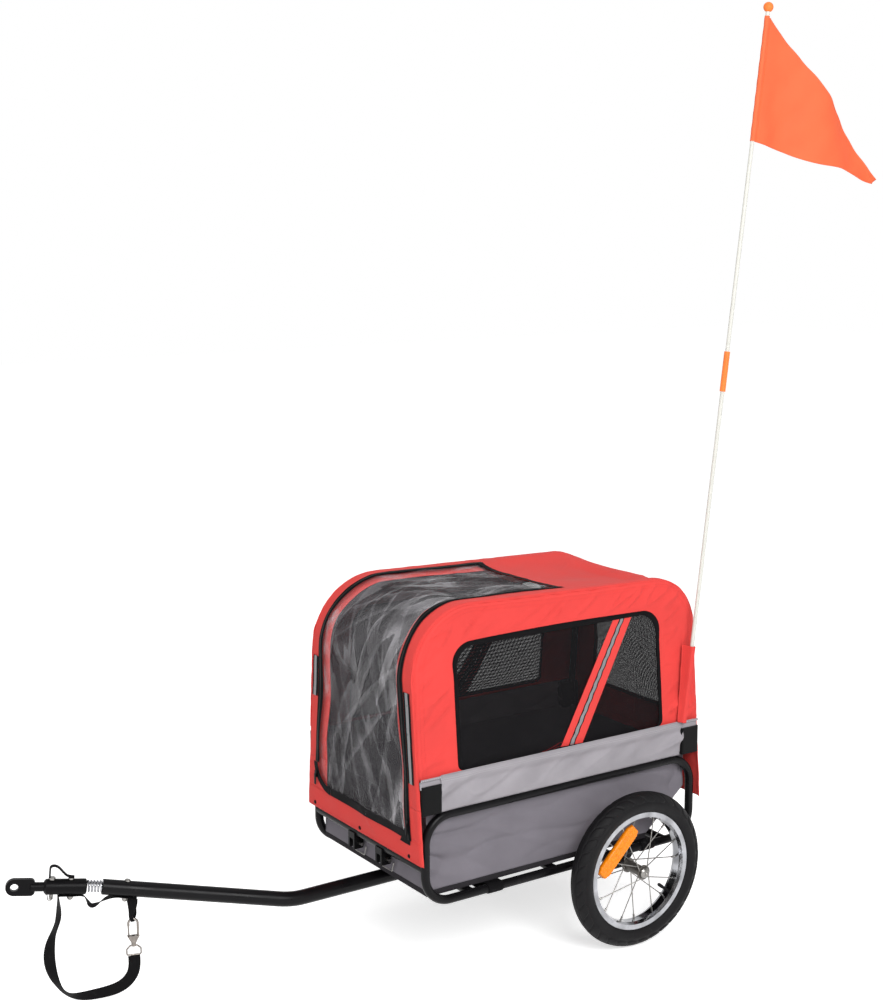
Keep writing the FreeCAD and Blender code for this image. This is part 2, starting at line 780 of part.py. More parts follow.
# Canopy cover: a band of cloth bent over both hoops, parted at the cross zip
def canopy_hull(offset):
    """The solid under the cover, at an offset outside its inner face."""
    rise = hinge_z + panel_inner + offset
    front = cover_front - offset
    rear = cover_rear + offset
    corners = [
        Vector(front, -OVERRUN, hem_z),
        Vector(rear, -OVERRUN, hem_z),
        Vector(rear, -OVERRUN, rise + hoop_height(rear)),
        Vector(front, -OVERRUN, rise + hoop_height(front)),
    ]
    return prism(corners, Y_AXIS * (2 * OVERRUN), [0, 0, COVER_REAR_BEND + offset, COVER_FRONT_BEND + offset])


def leaning_wedge(inset, base_z, start_x, end_x):
    """The space between the two leaning side planes, drawn in by an inset, from a height upwards."""
    slope = math.tan(math.radians(HOOP_LEAN))
    at_hinge = half + panel_inner / math.cos(math.radians(HOOP_LEAN)) - SEAT_GAP - inset
    top_z = hinge_z + OVERRUN
    low_y = at_hinge - (base_z - hinge_z) * slope
    high_y = at_hinge - (top_z - hinge_z) * slope
    corners = [
        Vector(start_x, -low_y, base_z),
        Vector(start_x, low_y, base_z),
        Vector(start_x, high_y, top_z),
        Vector(start_x, -high_y, top_z),
    ]
    return prism(corners, X_AXIS * (end_x - start_x))


cover_band = canopy_hull(CLOTH).cut(canopy_hull(0))
cross_zip_x = front_x + LOOP_LENGTH * CROSS_ZIP_share
wide_front = cover_front - OVERRUN
wide_rear = cover_rear + OVERRUN
zip_z = hem_z + HEM_BAND
opening = leaning_wedge(ZIP_INSET, zip_z, wide_front, cross_zip_x)
save("front_cover", cover_band.common(leaning_wedge(0, hem_z, wide_front, cross_zip_x)).cut(opening))

film_inner = (CLOTH - FILM) / 2
film_band = canopy_hull(film_inner + FILM).cut(canopy_hull(film_inner))
save("rain_window", film_band.common(leaning_wedge(ZIP_INSET + SEAT_GAP, zip_z + SEAT_GAP, wide_front,
                                                   cross_zip_x - SEAT_GAP)))


def rear_window(x, lap, thick, corner):
    wide = REAR_WINDOW_WIDTH / 2 + lap
    base = hinge_z + WINDOW_BASE_RISE - lap
    top = hinge_z + WINDOW_BASE_RISE + REAR_WINDOW_HEIGHT + lap
    corners = [Vector(x, -wide, base), Vector(x, wide, base), Vector(x, wide, top), Vector(x, -wide, top)]
    return prism(corners, X_AXIS * thick, [corner] * len(corners))


roof_band = cover_band.common(leaning_wedge(0, hem_z, cross_zip_x + SEAT_GAP, wide_rear))
save("roof_panel", roof_band.cut(rear_window(cover_rear, 0, CLOTH, WINDOW_CORNER)))
save("rear_window_net", rear_window(cover_rear - SEAT_GAP - NET, WINDOW_LAP, NET, WINDOW_CORNER))


# Grey skirts between the top tubes and the side panels
def skirt():
    outer_y = -half - SKIRT_INSET - CLOTH / 2
    inner_y = outer_y + CLOTH
    base = high_z + math.sqrt(tube_r ** 2 - (SKIRT_INSET - CLOTH / 2) ** 2) + SEAT_GAP
    block_reach = BLOCK_LENGTH - slot_r - BLOCK_CHEEK + HINGE_HEAD_THICK + SEAT_GAP
    front = front_x + block_reach
    rear = rear_x - block_reach
    return box(Vector(front, outer_y, base), Vector(rear, inner_y, hinge_z + PANEL_BASE_RISE - 2 * SEAT_GAP))


grey_skirt = skirt()
save("canopy_skirts", grey_skirt, other_side(grey_skirt))

# Tray: floor panel on webbing, and cloth walls that hang inside the loops
floor_z = max(low_z + tube_r + WEBBING_THICK, cross_z + tube_r) + 2 * SEAT_GAP
floor_top = floor_z + FLOOR_THICK
wall_y = half - tube_r - SEAT_GAP
wall_front = front_x + tube_r + SEAT_GAP
wall_rear = rear_x - tube_r - SEAT_GAP
ramp_x = rear_x - TRAY_RAMP_LENGTH
wall_base = floor_top + SEAT_GAP
wall_top = high_z + TRAY_TOP_LAP
floor_rear = ramp_x - TRAY_CLOTH
save("floor_panel", box(Vector(wall_front, -wall_y, floor_z), Vector(floor_rear, wall_y, floor_top)))


def side_wall():
    inner_y = -wall_y + TRAY_CLOTH
    corners = [
        Vector(wall_front, -wall_y, wall_base),
        Vector(ramp_x, -wall_y, wall_base),
        Vector(wall_rear, -wall_y, wall_base + TRAY_RAMP_RISE),
        Vector(wall_rear, -wall_y, wall_top),
        Vector(wall_front, -wall_y, wall_top),
    ]
    return prism(corners, Vector(0, inner_y + wall_y, 0))


def rear_wall():
    """The rear wall and the slope below it, between the side walls."""
    inner_y = wall_y - TRAY_CLOTH - SEAT_GAP
    corners = [
        Vector(ramp_x, -inner_y, wall_base),
        Vector(wall_rear, -inner_y, wall_base + TRAY_RAMP_RISE),
        Vector(wall_rear, -inner_y, wall_top),
        Vector(wall_rear - TRAY_CLOTH, -inner_y, wall_top),
        Vector(wall_rear - TRAY_CLOTH, -inner_y, wall_base + TRAY_RAMP_RISE + TRAY_CLOTH / 2),
        Vector(ramp_x - 2 * TRAY_CLOTH, -inner_y, wall_base),
    ]
    return prism(corners, Y_AXIS * (2 * inner_y))


left_wall = side_wall()
inner_wall_y = wall_y - TRAY_CLOTH - SEAT_GAP
front_wall = box(Vector(wall_front, -inner_wall_y, wall_base),
                 Vector(wall_front + TRAY_CLOTH, inner_wall_y, wall_top))
save("tray_walls", left_wall, other_side(left_wall), front_wall, rear_wall())


def floor_webbing(x):
    """A strap over both low tubes, each end wrapped round its tube and sewn back underneath."""
    reach = tube_r + SEAT_GAP / 2 + WEBBING_THICK / 2
    path = chain(
        Vector(x, WEBBING_TAIL - half, low_z - reach),
        (Vector(x, -half, low_z - reach),),
        (Vector(x, -half - reach, low_z), Vector(x, -half, low_z + reach)),
        (Vector(x, half, low_z + reach),),
        (Vector(x, half + reach, low_z), Vector(x, half, low_z - reach)),
        (Vector(x, half - WEBBING_TAIL, low_z - reach),),
    )
    start = Vector(x, WEBBING_TAIL - half, low_z - reach)
    across = X_AXIS * (WEBBING_WIDTH / 2)
    lift = Z_AXIS * (WEBBING_THICK / 2)
    corners = [start + across + lift, start - across + lift, start - across - lift, start + across - lift]
    return path.makePipeShell([Part.makePolygon(corners + corners[:1])], True, False)


save("floor_webbing", *[floor_webbing(front_x + LOOP_LENGTH * share) for share in WEBBING_PLACE_shares])

# Tow arm: a straight root under the cross tubes, one bend, and a run that points ahead, right and up
bend_point = Vector(front_x - ARM_BEND_LEAD, ARM_SIDE, arm_z)
arm_turn = Rotation(Z_AXIS, 180 - ARM_SWING).multiply(Rotation(Y_AXIS, -ARM_RISE))
arm_at = Placement(bend_point, arm_turn)
arm_back = Vector(front_x + LOOP_LENGTH * ARM_BACK_share, ARM_SIDE, arm_z)
arm_end = arm_at.multVec(Vector(ARM_LENGTH, 0, 0))
arm_path = rounded_path([arm_back, bend_point, arm_end], [0, ARM_BEND_RADIUS, 0])
bolt_t = ARM_LENGTH - ARM_BOLT_SETBACK
bolt_hole = cylinder(BOLT_DIA / 2 + RUN_GAP, Vector(bolt_t, 0, -OVERRUN), Vector(bolt_t, 0, OVERRUN))
save("tow_arm", tube(arm_path, arm_r, ARM_WALL).cut(moved(bolt_hole, arm_at)))


def arm_clamp(x):
    """A saddle between a cross tube and the arm's root."""
    low = Vector(x - CLAMP_LENGTH / 2, ARM_SIDE - CLAMP_WIDTH / 2, arm_z - arm_r - CLAMP_FLOOR)
    high = Vector(x + CLAMP_LENGTH / 2, ARM_SIDE + CLAMP_WIDTH / 2, cross_z)
    arm_seat = cylinder(arm_r + RUN_GAP, Vector(low.x, ARM_SIDE, arm_z), Vector(high.x, ARM_SIDE, arm_z))
    tube_seat = cylinder(tube_r, Vector(x, low.y, cross_z), Vector(x, high.y, cross_z))
    return box(low, high).cut(arm_seat).cut(tube_seat)


save("arm_clamps", *[arm_clamp(front_x + LOOP_LENGTH * share) for share in CROSS_PLACE_shares[:2]])

# Front receivers: two forked sockets on the front cross tube, each with a lock pin held by a wire bail
receiver_z = front_cross_z - tube_r - RECEIVER_DROP
pin_z = receiver_z + LOCK_PIN_RISE
receiver_half = RECEIVER_SIZE / 2


def receiver(y):
    low = Vector(front_x - receiver_half, y - receiver_half, receiver_z)
    high = Vector(front_x + tube_r, y + receiver_half, front_cross_z)
    cheek = receiver_half - RECEIVER_CHEEK
    slot = box(Vector(low.x - OVERRUN, y - cheek, receiver_z - OVERRUN),
               Vector(high.x + OVERRUN, y + cheek, front_cross_z - tube_r - RECEIVER_CHEEK))
    hole_r = LOCK_PIN_DIA / 2 + RUN_GAP
    near = Vector(front_x, low.y, 0)
    far = Vector(front_x, high.y, 0)
    pin_hole = cylinder(hole_r, near + Z_AXIS * pin_z, far + Z_AXIS * pin_z)
    tube_seat = cylinder(tube_r, near + Z_AXIS * front_cross_z, far + Z_AXIS * front_cross_z)
    return box(low, high).cut(slot).cut(pin_hole).cut(tube_seat)


def lock_pin(y):
    """A plain pin with a head and a flat lug behind it that carries the bail."""
    tip = Vector(front_x, y - LOCK_PIN_LENGTH / 2, pin_z)
    seat = Vector(front_x, y + receiver_half + SEAT_GAP, pin_z)
    back = seat + Y_AXIS * LOCK_HEAD_THICK
    lug_low = Vector(front_x - LOCK_LUG_THICK / 2, back.y, pin_z - LOCK_LUG_HEIGHT / 2)
    lug_high = Vector(front_x + LOCK_LUG_THICK / 2, back.y + LOCK_LUG_LENGTH, pin_z + LOCK_LUG_HEIGHT / 2)
    hinge = Vector(front_x, back.y + LOCK_LUG_LENGTH / 2, pin_z)
    hole = cylinder(BAIL_DIA / 2 + RUN_GAP, hinge - X_AXIS * LOCK_HEAD_DIA, hinge + X_AXIS * LOCK_HEAD_DIA)
    head = cylinder(LOCK_HEAD_DIA / 2, seat, back)
    pin = cylinder(LOCK_PIN_DIA / 2, tip, seat).fuse([head, box(lug_low, lug_high)])
    return pin.cut(hole), hinge, tip


def wire_bail(hinge, tip):
    """A bent wire from the lug's hole, under the receiver, to just below the pin's tip."""
    side_x = hinge.x + BAIL_SIDE
    low = pin_z - BAIL_DROP
    points = [
        Vector(hinge.x - BAIL_SIDE, hinge.y, pin_z),
        Vector(side_x, hinge.y, pin_z),
        Vector(side_x, hinge.y, low + BAIL_BEND * 2),
        Vector(side_x, hinge.y - LOCK_LUG_LENGTH, low),
        Vector(side_x, tip.y, low),
        Vector(side_x, tip.y - BAIL_BEND * 2, pin_z - BAIL_BEND),
    ]
    return pipe(rounded_path(points, [0, BAIL_BEND, BAIL_BEND, BAIL_BEND, BAIL_BEND, 0]), BAIL_DIA / 2)


receiver_ys = (-RECEIVER_SPACING / 2, RECEIVER_SPACING / 2)
save("front_receivers", *[receiver(y) for y in receiver_ys])
pins = [lock_pin(y) for y in receiver_ys]
save("lock_pins", *[pin for pin, hinge, tip in pins])
for side, (pin, hinge, tip) in zip(("left", "right"), pins):
    save(side + "_pin_bail", wire_bail(hinge, tip))
    print(side + "_bail hinge", [round(value, 2) for value in hinge])

# Hitch: the coupler hangs a little below the arm's line, turned about the middle of the spring
pivot_t = ARM_LENGTH + HITCH_GAP / 2
pivot = arm_at.multVec(Vector(pivot_t, 0, 0))
coupler_at = Placement(pivot, arm_turn.multiply(Rotation(Y_AXIS, COUPLER_DROOP)))
spring_at = Placement(pivot, arm_turn.multiply(Rotation(Y_AXIS, COUPLER_DROOP / 2)))
sleeve_start = HITCH_GAP / 2
sleeve_end = sleeve_start + SLEEVE_LENGTH
sleeve_bore = arm_r - ARM_WALL
neck_r = EYE_NECK_DIA / 2
sleeve_bolt_t = sleeve_end - SLEEVE_BOLT_SETBACK
hitch_pin_t = sleeve_end - HITCH_PIN_SETBACK
upright = Vector(0, 0, OVERRUN)


def coupler_sleeve():
    bar = cylinder(arm_r, Vector(sleeve_start, 0, 0), Vector(sleeve_end, 0, 0))
    bar = bar.makeChamfer(SLEEVE_BEVEL, [edge for edge in bar.Edges if edge.Closed])
    bar = bar.cut(cylinder(sleeve_bore, Vector(0, 0, 0), Vector(sleeve_start + SLEEVE_SOCKET, 0, 0)))
    bar = bar.cut(cylinder(neck_r + RUN_GAP, Vector(0, 0, 0), Vector(sleeve_end, 0, 0)))
    pin_at = Vector(hitch_pin_t, 0, 0)
    bolt_at = Vector(sleeve_bolt_t, 0, 0)
    bar = bar.cut(cylinder(HITCH_PIN_DIA / 2 + RUN_GAP, pin_at - upright, pin_at + upright))
    return bar.cut(cylinder(BOLT_DIA / 2 + RUN_GAP, bolt_at - upright, bolt_at + upright))


def coupler_eye():
    """A round neck with a flat upright plate, holed for the bicycle's axle."""
    eye_t = sleeve_end + EYE_REACH
    round_r = EYE_PLATE_WIDTH / 2
    plate_start = eye_t + round_r - EYE_PLATE_LENGTH
    near_y = -EYE_PLATE_THICK / 2
    corners = [
        Vector(plate_start, near_y, -round_r),
        Vector(eye_t + round_r, near_y, -round_r),
        Vector(eye_t + round_r, near_y, round_r),
        Vector(plate_start, near_y, round_r),
    ]
    back_r = round_r / 2
    front_r = round_r - RUN_GAP
    plate = prism(corners, Y_AXIS * EYE_PLATE_THICK, [back_r, front_r, front_r, back_r])
    neck_start = sleeve_start + SLEEVE_SOCKET + SEAT_GAP
    neck = cylinder(neck_r, Vector(neck_start, 0, 0), Vector(plate_start + back_r, 0, 0))
    pin_at = Vector(hitch_pin_t, 0, 0)
    body = neck.fuse(plate).cut(cylinder(HITCH_PIN_DIA / 2 + RUN_GAP, pin_at - upright, pin_at + upright))
    hole = cylinder(EYE_BORE_DIA / 2, Vector(eye_t, -OVERRUN, 0), Vector(eye_t, OVERRUN, 0))
    return body.cut(hole), Vector(eye_t, 0, 0)


def hitch_pin():
    pin_at = Vector(hitch_pin_t, 0, 0)
    seat = arm_r + RUN_GAP
    pin = cylinder(HITCH_PIN_DIA / 2, pin_at - Z_AXIS * HITCH_PIN_BELOW, pin_at + Z_AXIS * seat)
    head = cylinder(HITCH_HEAD_DIA / 2, pin_at + Z_AXIS * seat, pin_at + Z_AXIS * (seat + HITCH_HEAD_THICK))
    hole_at = pin_at - Z_AXIS * (HITCH_PIN_BELOW - CLIP_RISE)
    reach = Y_AXIS * HITCH_HEAD_DIA
    return pin.fuse(head).cut(cylinder(CLIP_DIA / 2 + RUN_GAP, hole_at - reach, hole_at + reach))


def retaining_clip():
    """One straight leg through the pin and one bowed leg in front of it."""
    z = CLIP_RISE - HITCH_PIN_BELOW
    t = hitch_pin_t
    points = [
        Vector(t, -CLIP_LEG, z),
        Vector(t, CLIP_LEG + CLIP_GAP, z),
        Vector(t + CLIP_GAP, CLIP_LEG + CLIP_GAP, z),
        Vector(t + CLIP_GAP, -CLIP_GAP, z),
        Vector(t + CLIP_GAP + CLIP_GAP / 2, CLIP_LEG - CLIP_TAIL - CLIP_GAP, z),
    ]
    bend = CLIP_GAP / 2 - RUN_GAP
    return pipe(rounded_path(points, [0, bend, bend, bend, 0]), CLIP_DIA / 2)


def cross_bolt(t, below):
    """A bolt down through a tube, with a low round head on top and a domed nut underneath."""
    seat = arm_r + RUN_GAP
    head_r = BOLT_HEAD_DIA / 2
    nut_r = DOME_NUT_DIA / 2
    nut_top = -arm_r - below
    shaft = cylinder(BOLT_DIA / 2, Vector(t, 0, nut_top), Vector(t, 0, seat))
    head = cylinder(head_r, Vector(t, 0, seat), Vector(t, 0, seat + BOLT_HEAD_THICK))
    head = head.makeFillet(BOLT_HEAD_THICK / 2, [head.Edges[0]])
    nut_base = nut_top - DOME_NUT_HEIGHT + nut_r
    nut = cylinder(nut_r, Vector(t, 0, nut_base), Vector(t, 0, nut_top))
    dome = Part.makeSphere(nut_r, Vector(t, 0, nut_base), Z_AXIS, -90, 0, 360)
    return shaft.fuse([head, nut, dome])


def lanyard():
    """A strip from over the hitch pin's head back to the bolt head."""
    low = arm_r + RUN_GAP + HITCH_HEAD_THICK + SEAT_GAP
    bolt_top = arm_r + RUN_GAP + BOLT_HEAD_THICK + SEAT_GAP + LANYARD_THICK / 2
    front = hitch_pin_t + HITCH_HEAD_DIA / 2 - LANYARD_THICK
    points = [
        Vector(front, 0, low),
        Vector(front, 0, low + LANYARD_HEIGHT),
        Vector(front - HITCH_HEAD_DIA, 0, low + LANYARD_HEIGHT),
        Vector(sleeve_bolt_t + BOLT_HEAD_DIA / 2, 0, bolt_top),
        Vector(sleeve_bolt_t - BOLT_HEAD_DIA / 2, 0, bolt_top),
    ]
    radii = [0, LANYARD_BEND / 2, LANYARD_BEND, LANYARD_BEND, 0]
    return ribbon(points, radii, LANYARD_THICK, LANYARD_WIDTH, Y_AXIS)


eye, eye_at = coupler_eye()
save("coupler_sleeve", moved(coupler_sleeve(), coupler_at))
save("coupler_eye", moved(eye, coupler_at))
save("hitch_pin", moved(hitch_pin(), coupler_at))
save("retaining_clip", moved(retaining_clip(), coupler_at))
save("pin_lanyard", moved(lanyard(), coupler_at))
bolt_below = SEAT_GAP + STRAP_THICK + SEAT_GAP
save("sleeve_bolt", moved(cross_bolt(sleeve_bolt_t, bolt_below), coupler_at))
save("arm_bolt", moved(cross_bolt(bolt_t, bolt_below), arm_at))
print("eye", [round(value, 3) for value in coupler_at.multVec(eye_at)], "axis",
      [round(value, 5) for value in coupler_at.Rotation.multVec(Y_AXIS)])
print("pivot", [round(value, 3) for value in pivot], "axis",
      [round(value, 5) for value in spring_at.Rotation.multVec(Z_AXIS)])


def biarc(start, heading, end, end_heading):
    """Two arcs that leave one point and reach another along given headings."""
    gap = end - start
    both = heading + end_heading
    a = 2 * (1 - heading.dot(end_heading))
    b = 2 * gap.dot(both)
    reach = (math.sqrt(b * b + 4 * a * gap.dot(gap)) - b) / (2 * a)
    near = start + heading * reach
    far = end - end_heading * reach
    join = (near + far) / 2
    edges = []
    for first, apex, last in ((start, near, join), (join, far, end)):
        middle = (first + last) / 2
        lean = apex - middle
        half_chord = (last - first).Length / 2
        base_angle = math.acos(min(half_chord / (apex - first).Length, 1))
        bow = half_chord * math.tan(base_angle / 2)
        edges.append(Part.Arc(first, middle + lean.normalize() * bow, last).toShape())
    return edges


def hitch_spring():
    """An open coil about the coupler's line, in quarter turns, one unbroken wire."""
    radius = SPRING_DIA / 2 - SPRING_WIRE / 2
    length = SPRING_TURNS * SPRING_PITCH
    quarters = 4 * SPRING_TURNS

    def at(step):
        turn = math.pi / 2 * step
        return Vector(length * (step / quarters - 1 / 2), radius * math.cos(turn), radius * math.sin(turn))

    def heading(step):
        turn = math.pi / 2 * step
        rise = SPRING_PITCH / (2 * math.pi)
        return Vector(rise, -radius * math.sin(turn), radius * math.cos(turn)).normalize()

    edges = []
    for step in range(quarters):
        edges += biarc(at(step), heading(step), at(step + 1), heading(step + 1))
    path = Part.Wire(edges)
    coil = pipe(path, SPRING_WIRE / 2)
    slope = math.atan(SPRING_PITCH / (2 * math.pi * radius))
    swept = math.pi * (SPRING_WIRE / 2) ** 2 * path.Length
    print("hitch_spring least self gap", round(SPRING_PITCH * math.cos(slope) - SPRING_WIRE, 2))
    print("hitch_spring volume over section times length", round(coil.Volume / swept, 4))
    return coil


save("hitch_spring", moved(hitch_spring(), spring_at))

# Safety strap: bolted along the underside of the hitch, slack at the spring, then a loop and a hook
under = -arm_r - SEAT_GAP - STRAP_THICK / 2


def strap_run():
    """The strap's bolted run, from under the sleeve, in a slack bight under the spring, to under the arm."""
    nose = coupler_at.multVec(Vector(sleeve_bolt_t + RUN_NOSE, 0, under))
    sleeve_back = coupler_at.multVec(Vector(sleeve_start + SLEEVE_BEVEL, 0, under))
    arm_front = arm_at.multVec(Vector(ARM_LENGTH - RUN_SLACK_LENGTH / 2, 0, under))
    slack_front = coupler_at.multVec(Vector(0, 0, under - RUN_SLACK_DROP))
    slack_back = arm_at.multVec(Vector(ARM_LENGTH - RUN_BEND, 0, under - RUN_SLACK_DROP))
    back = arm_at.multVec(Vector(bolt_t - RUN_BACK, 0, under))
    points = [nose, sleeve_back, slack_front, slack_back, arm_front, back]
    side = arm_at.Rotation.multVec(Y_AXIS)
    strap = ribbon(points, [0, RUN_BEND, RUN_BEND, RUN_BEND, RUN_BEND, 0], STRAP_THICK, RUN_WIDTH, side)
    for place, t in ((coupler_at, sleeve_bolt_t), (arm_at, bolt_t)):
        hole = cylinder(BOLT_DIA / 2 + RUN_GAP, Vector(t, 0, -OVERRUN), Vector(t, 0, OVERRUN))
        strap = strap.cut(moved(hole, place))
    return strap, nose, back


run, run_nose, run_back = strap_run()

# The loop, hook, ring and hanging strap stand upright under the back end of the run
ahead = Rotation(Z_AXIS, 180 - ARM_SWING)
hook_top = run_back - Z_AXIS * (STRAP_THICK / 2 + SEAT_GAP)
hook_at = Placement(Vector(hook_top.x, hook_top.y, 0), ahead)
loop_top = hook_top.z - STRAP_THICK
loop_low = loop_top - LOOP_DROP


def strap_loop():
    """A bight of webbing that hangs below the run, open from front to back for the hook."""
    reach = LOOP_INNER_DIA / 2 + STRAP_THICK / 2
    bottom = loop_low + reach
    path = chain(
        Vector(0, -reach, loop_top),
        (Vector(0, -reach, bottom),),
        (Vector(0, 0, loop_low), Vector(0, reach, bottom)),
        (Vector(0, reach, loop_top),),
    )
    start = Vector(0, -reach, loop_top)
    across = X_AXIS * (LOOP_WIDTH / 2)
    lift = Y_AXIS * (STRAP_THICK / 2)
    corners = [start + across + lift, start - across + lift, start - across - lift, start + across - lift]
    sides = path.makePipeShell([Part.makePolygon(corners + corners[:1])], True, False)
    low = Vector(-LOOP_WIDTH / 2, -reach - STRAP_THICK / 2, loop_top)
    high = Vector(LOOP_WIDTH / 2, reach + STRAP_THICK / 2, loop_top + STRAP_THICK)
    return sides.fuse(box(low, high))


save("strap_run", run, moved(strap_loop(), hook_at))

hook_r = HOOK_WIRE / 2
side_t = HOOK_WIDTH / 2 - hook_r
bow_r = side_t - hook_r
loop_sag = bow_r - math.sqrt(bow_r ** 2 - (LOOP_WIDTH / 2) ** 2)
bow_top = loop_low + STRAP_THICK / 2 + SEAT_GAP + hook_r + loop_sag
bow_base = bow_top - HOOK_LENGTH + HOOK_BASE_LENGTH
hook_low = bow_base - HOOK_BASE_LENGTH
gate_r = HOOK_GATE_DIA / 2


def snap_hook():
    """A bow of wire on a solid base, open on its front side where the gate closes it."""
    nose_z = bow_top - side_t - HOOK_WIRE
    path = chain(
        Vector(-side_t, 0, bow_base),
        (Vector(-side_t, 0, bow_top - side_t),),
        (Vector(0, 0, bow_top), Vector(side_t, 0, bow_top - side_t)),
        (Vector(side_t, 0, nose_z),),
    )
    bow = pipe(path, hook_r)
    base_half = SWIVEL_HEAD_DIA / 2
    corners = [
        Vector(-HOOK_WIDTH / 2 - SEAT_GAP, -base_half, bow_base),
        Vector(HOOK_WIDTH / 2 + SEAT_GAP, -base_half, bow_base),
        Vector(base_half, -base_half, hook_low),
        Vector(-base_half, -base_half, hook_low),
    ]
    base = prism(corners, Y_AXIS * SWIVEL_HEAD_DIA)
    pocket = cylinder(SWIVEL_DIA / 2 + RUN_GAP, Vector(0, 0, hook_low), Vector(0, 0, bow_base))
    return bow.fuse(base).cut(pocket), nose_z


hook, nose_z = snap_hook()
gate_low = bow_base + gate_r + SEAT_GAP
gate = cylinder(gate_r, Vector(side_t, 0, gate_low), Vector(side_t, 0, nose_z - SEAT_GAP))
gate = gate.fuse(Part.makeSphere(gate_r, Vector(side_t, 0, gate_low)))
save("snap_hook", moved(hook, hook_at))
save("hook_gate", moved(gate, hook_at))
print("hook", [round(value, 2) for value in hook_at.multVec(Vector(0, 0, hook_low))], "gate hinge",
      [round(value, 2) for value in hook_at.multVec(Vector(side_t, 0, gate_low))], "gate axis",
      [round(value, 5) for value in hook_at.Rotation.multVec(Y_AXIS)])


def ring_and_swivel():
    """A D-shaped wire ring with the swivel stud that turns in the hook's base."""
    wire_r = RING_WIRE / 2
    wide = RING_WIDTH / 2
    stud_low = hook_low - SWIVEL_LENGTH
    top = stud_low
    low = top - RING_HEIGHT
    points = [
        Vector(0, 0, low),
        Vector(-wide, 0, low),
        Vector(-wide, 0, top - wide / 2),
        Vector(-wide / 2, 0, top),
        Vector(wide / 2, 0, top),
        Vector(wide, 0, top - wide / 2),
        Vector(wide, 0, low),
    ]
    bend = RING_WIRE
    ring = pipe(rounded_path(points, [0] + [bend] * (len(points) - 1), True), wire_r)
    stud_top = hook_low + HOOK_BASE_LENGTH - HOOK_WIRE
    stud = cylinder(SWIVEL_DIA / 2, Vector(0, 0, top + wire_r), Vector(0, 0, stud_top))
    collar = cylinder(SWIVEL_HEAD_DIA / 2, Vector(0, 0, top - wire_r / 2), Vector(0, 0, hook_low - SEAT_GAP))
    return ring.fuse([stud, collar]), low


ring, ring_low = ring_and_swivel()
save("strap_ring", moved(ring, hook_at))


def hanging_strap():
    """The free strap from under the ring, down near the ground and up to the run's front end."""
    lift = ring_low - RING_WIRE / 2 - SEAT_GAP - STRAP_ROUTE[0][1]
    tip = hook_at.inverse().multVec(run_nose - Z_AXIS * (STRAP_THICK / 2 + SEAT_GAP))
    last = STRAP_ROUTE[-1]
    lowest = min(height for ahead_t, height in STRAP_ROUTE)
    points = []
    for ahead_t, height in STRAP_ROUTE:
        share = (height - lowest) / (last[1] - lowest)
        front_share = ahead_t / last[0]
        blend = (tip.z - last[1]) * front_share + lift * (1 - front_share)
        points.append(Vector(ahead_t + (tip.x - last[0]) * front_share, 0, height + blend * share))
    points[0].z = ring_low - RING_WIRE / 2 - SEAT_GAP
    points[-1].z = tip.z
    radii = [0]
    for before, point, after in zip(points, points[1:], points[2:]):
        back = before - point
        on = after - point
        half_turn = (math.pi - back.getAngle(on)) / 2
        radii.append(BEND_REACH_share * min(back.Length, on.Length) / math.tan(half_turn))
    radii.append(0)
    strap = ribbon(points, radii, STRAP_THICK, STRAP_WIDTH, Y_AXIS)
    length = rounded_path(points, radii).Length
    swept = STRAP_THICK * STRAP_WIDTH * length
    placed = [hook_at.multVec(point) for point in points]
    print("safety_strap radii", [round(radius, 1) for radius in radii[1:-1]], "length", round(length, 1))
    print("safety_strap volume over section times length", round(strap.Volume / swept, 4))
    print("safety_strap points", [tuple(round(value, 2) for value in point) for point in placed])
    return strap


save("safety_strap", moved(hanging_strap(), hook_at))


# Zip sliders on the two upright zips of the rain window
def zip_slider():
    face_x = cover_front - CLOTH - SEAT_GAP
    low_z_slider = zip_z + SLIDER_RISE
    slope = math.tan(math.radians(HOOP_LEAN))
    zip_y = -(half + panel_inner - SEAT_GAP - ZIP_INSET - (low_z_slider - hinge_z) * slope)
    body_low = Vector(face_x - SLIDER_THICK, zip_y - SLIDER_WIDTH / 2, low_z_slider)
    body_high = Vector(face_x, zip_y + SLIDER_WIDTH / 2, low_z_slider + SLIDER_LENGTH)
    pull_low = Vector(face_x - SLIDER_THICK - PULL_THICK, zip_y - PULL_WIDTH / 2,
                      low_z_slider + SLIDER_LENGTH / 2 - PULL_LENGTH)
    pull_high = Vector(face_x - SLIDER_THICK, zip_y + PULL_WIDTH / 2, low_z_slider + SLIDER_LENGTH / 2)
    return box(body_low, body_high).fuse(box(pull_low, pull_high))


slider = zip_slider()
save("left_zip_slider", slider)
save("right_zip_slider", other_side(slider))

# Flag: two pole halves joined by a ferrule, in a pocket sewn to the left side panel
pole_r = POLE_DIA / 2
pocket_half = POCKET_WIDTH / 2
foot_z = hinge_z + POLE_FOOT_RISE
pole_y = -half - panel_outer - pole_r - POCKET_WALL
pole_at = Placement(Vector(rear_x - POLE_FOOT_INSET, pole_y, foot_z), Rotation(Y_AXIS, POLE_LEAN))
bore_r = pole_r + POLE_CLEARANCE


def flag_pocket():
    """A sewn sleeve that fills the space between the pole and the leaning panel, closed at its foot."""
    low = Vector(-pocket_half, -pole_r - POCKET_WALL, -POCKET_WALL)
    high = Vector(pocket_half, OVERRUN, POCKET_LENGTH)
    block = moved(box(low, high), pole_at)
    corner = Vector(2 * OVERRUN, 2 * OVERRUN, OVERRUN)
    inside = moved(box(Vector(-corner.x, -panel_outer, -corner.z), corner), hoop_at)
    bore = moved(cylinder(bore_r, ORIGIN, Vector(0, 0, POCKET_LENGTH)), pole_at)
    return block.cut(inside).cut(bore)


def pole_half(start):
    low = Vector(0, 0, start)
    return moved(cylinder(pole_r, low, low + Z_AXIS * POLE_HALF_LENGTH), pole_at)


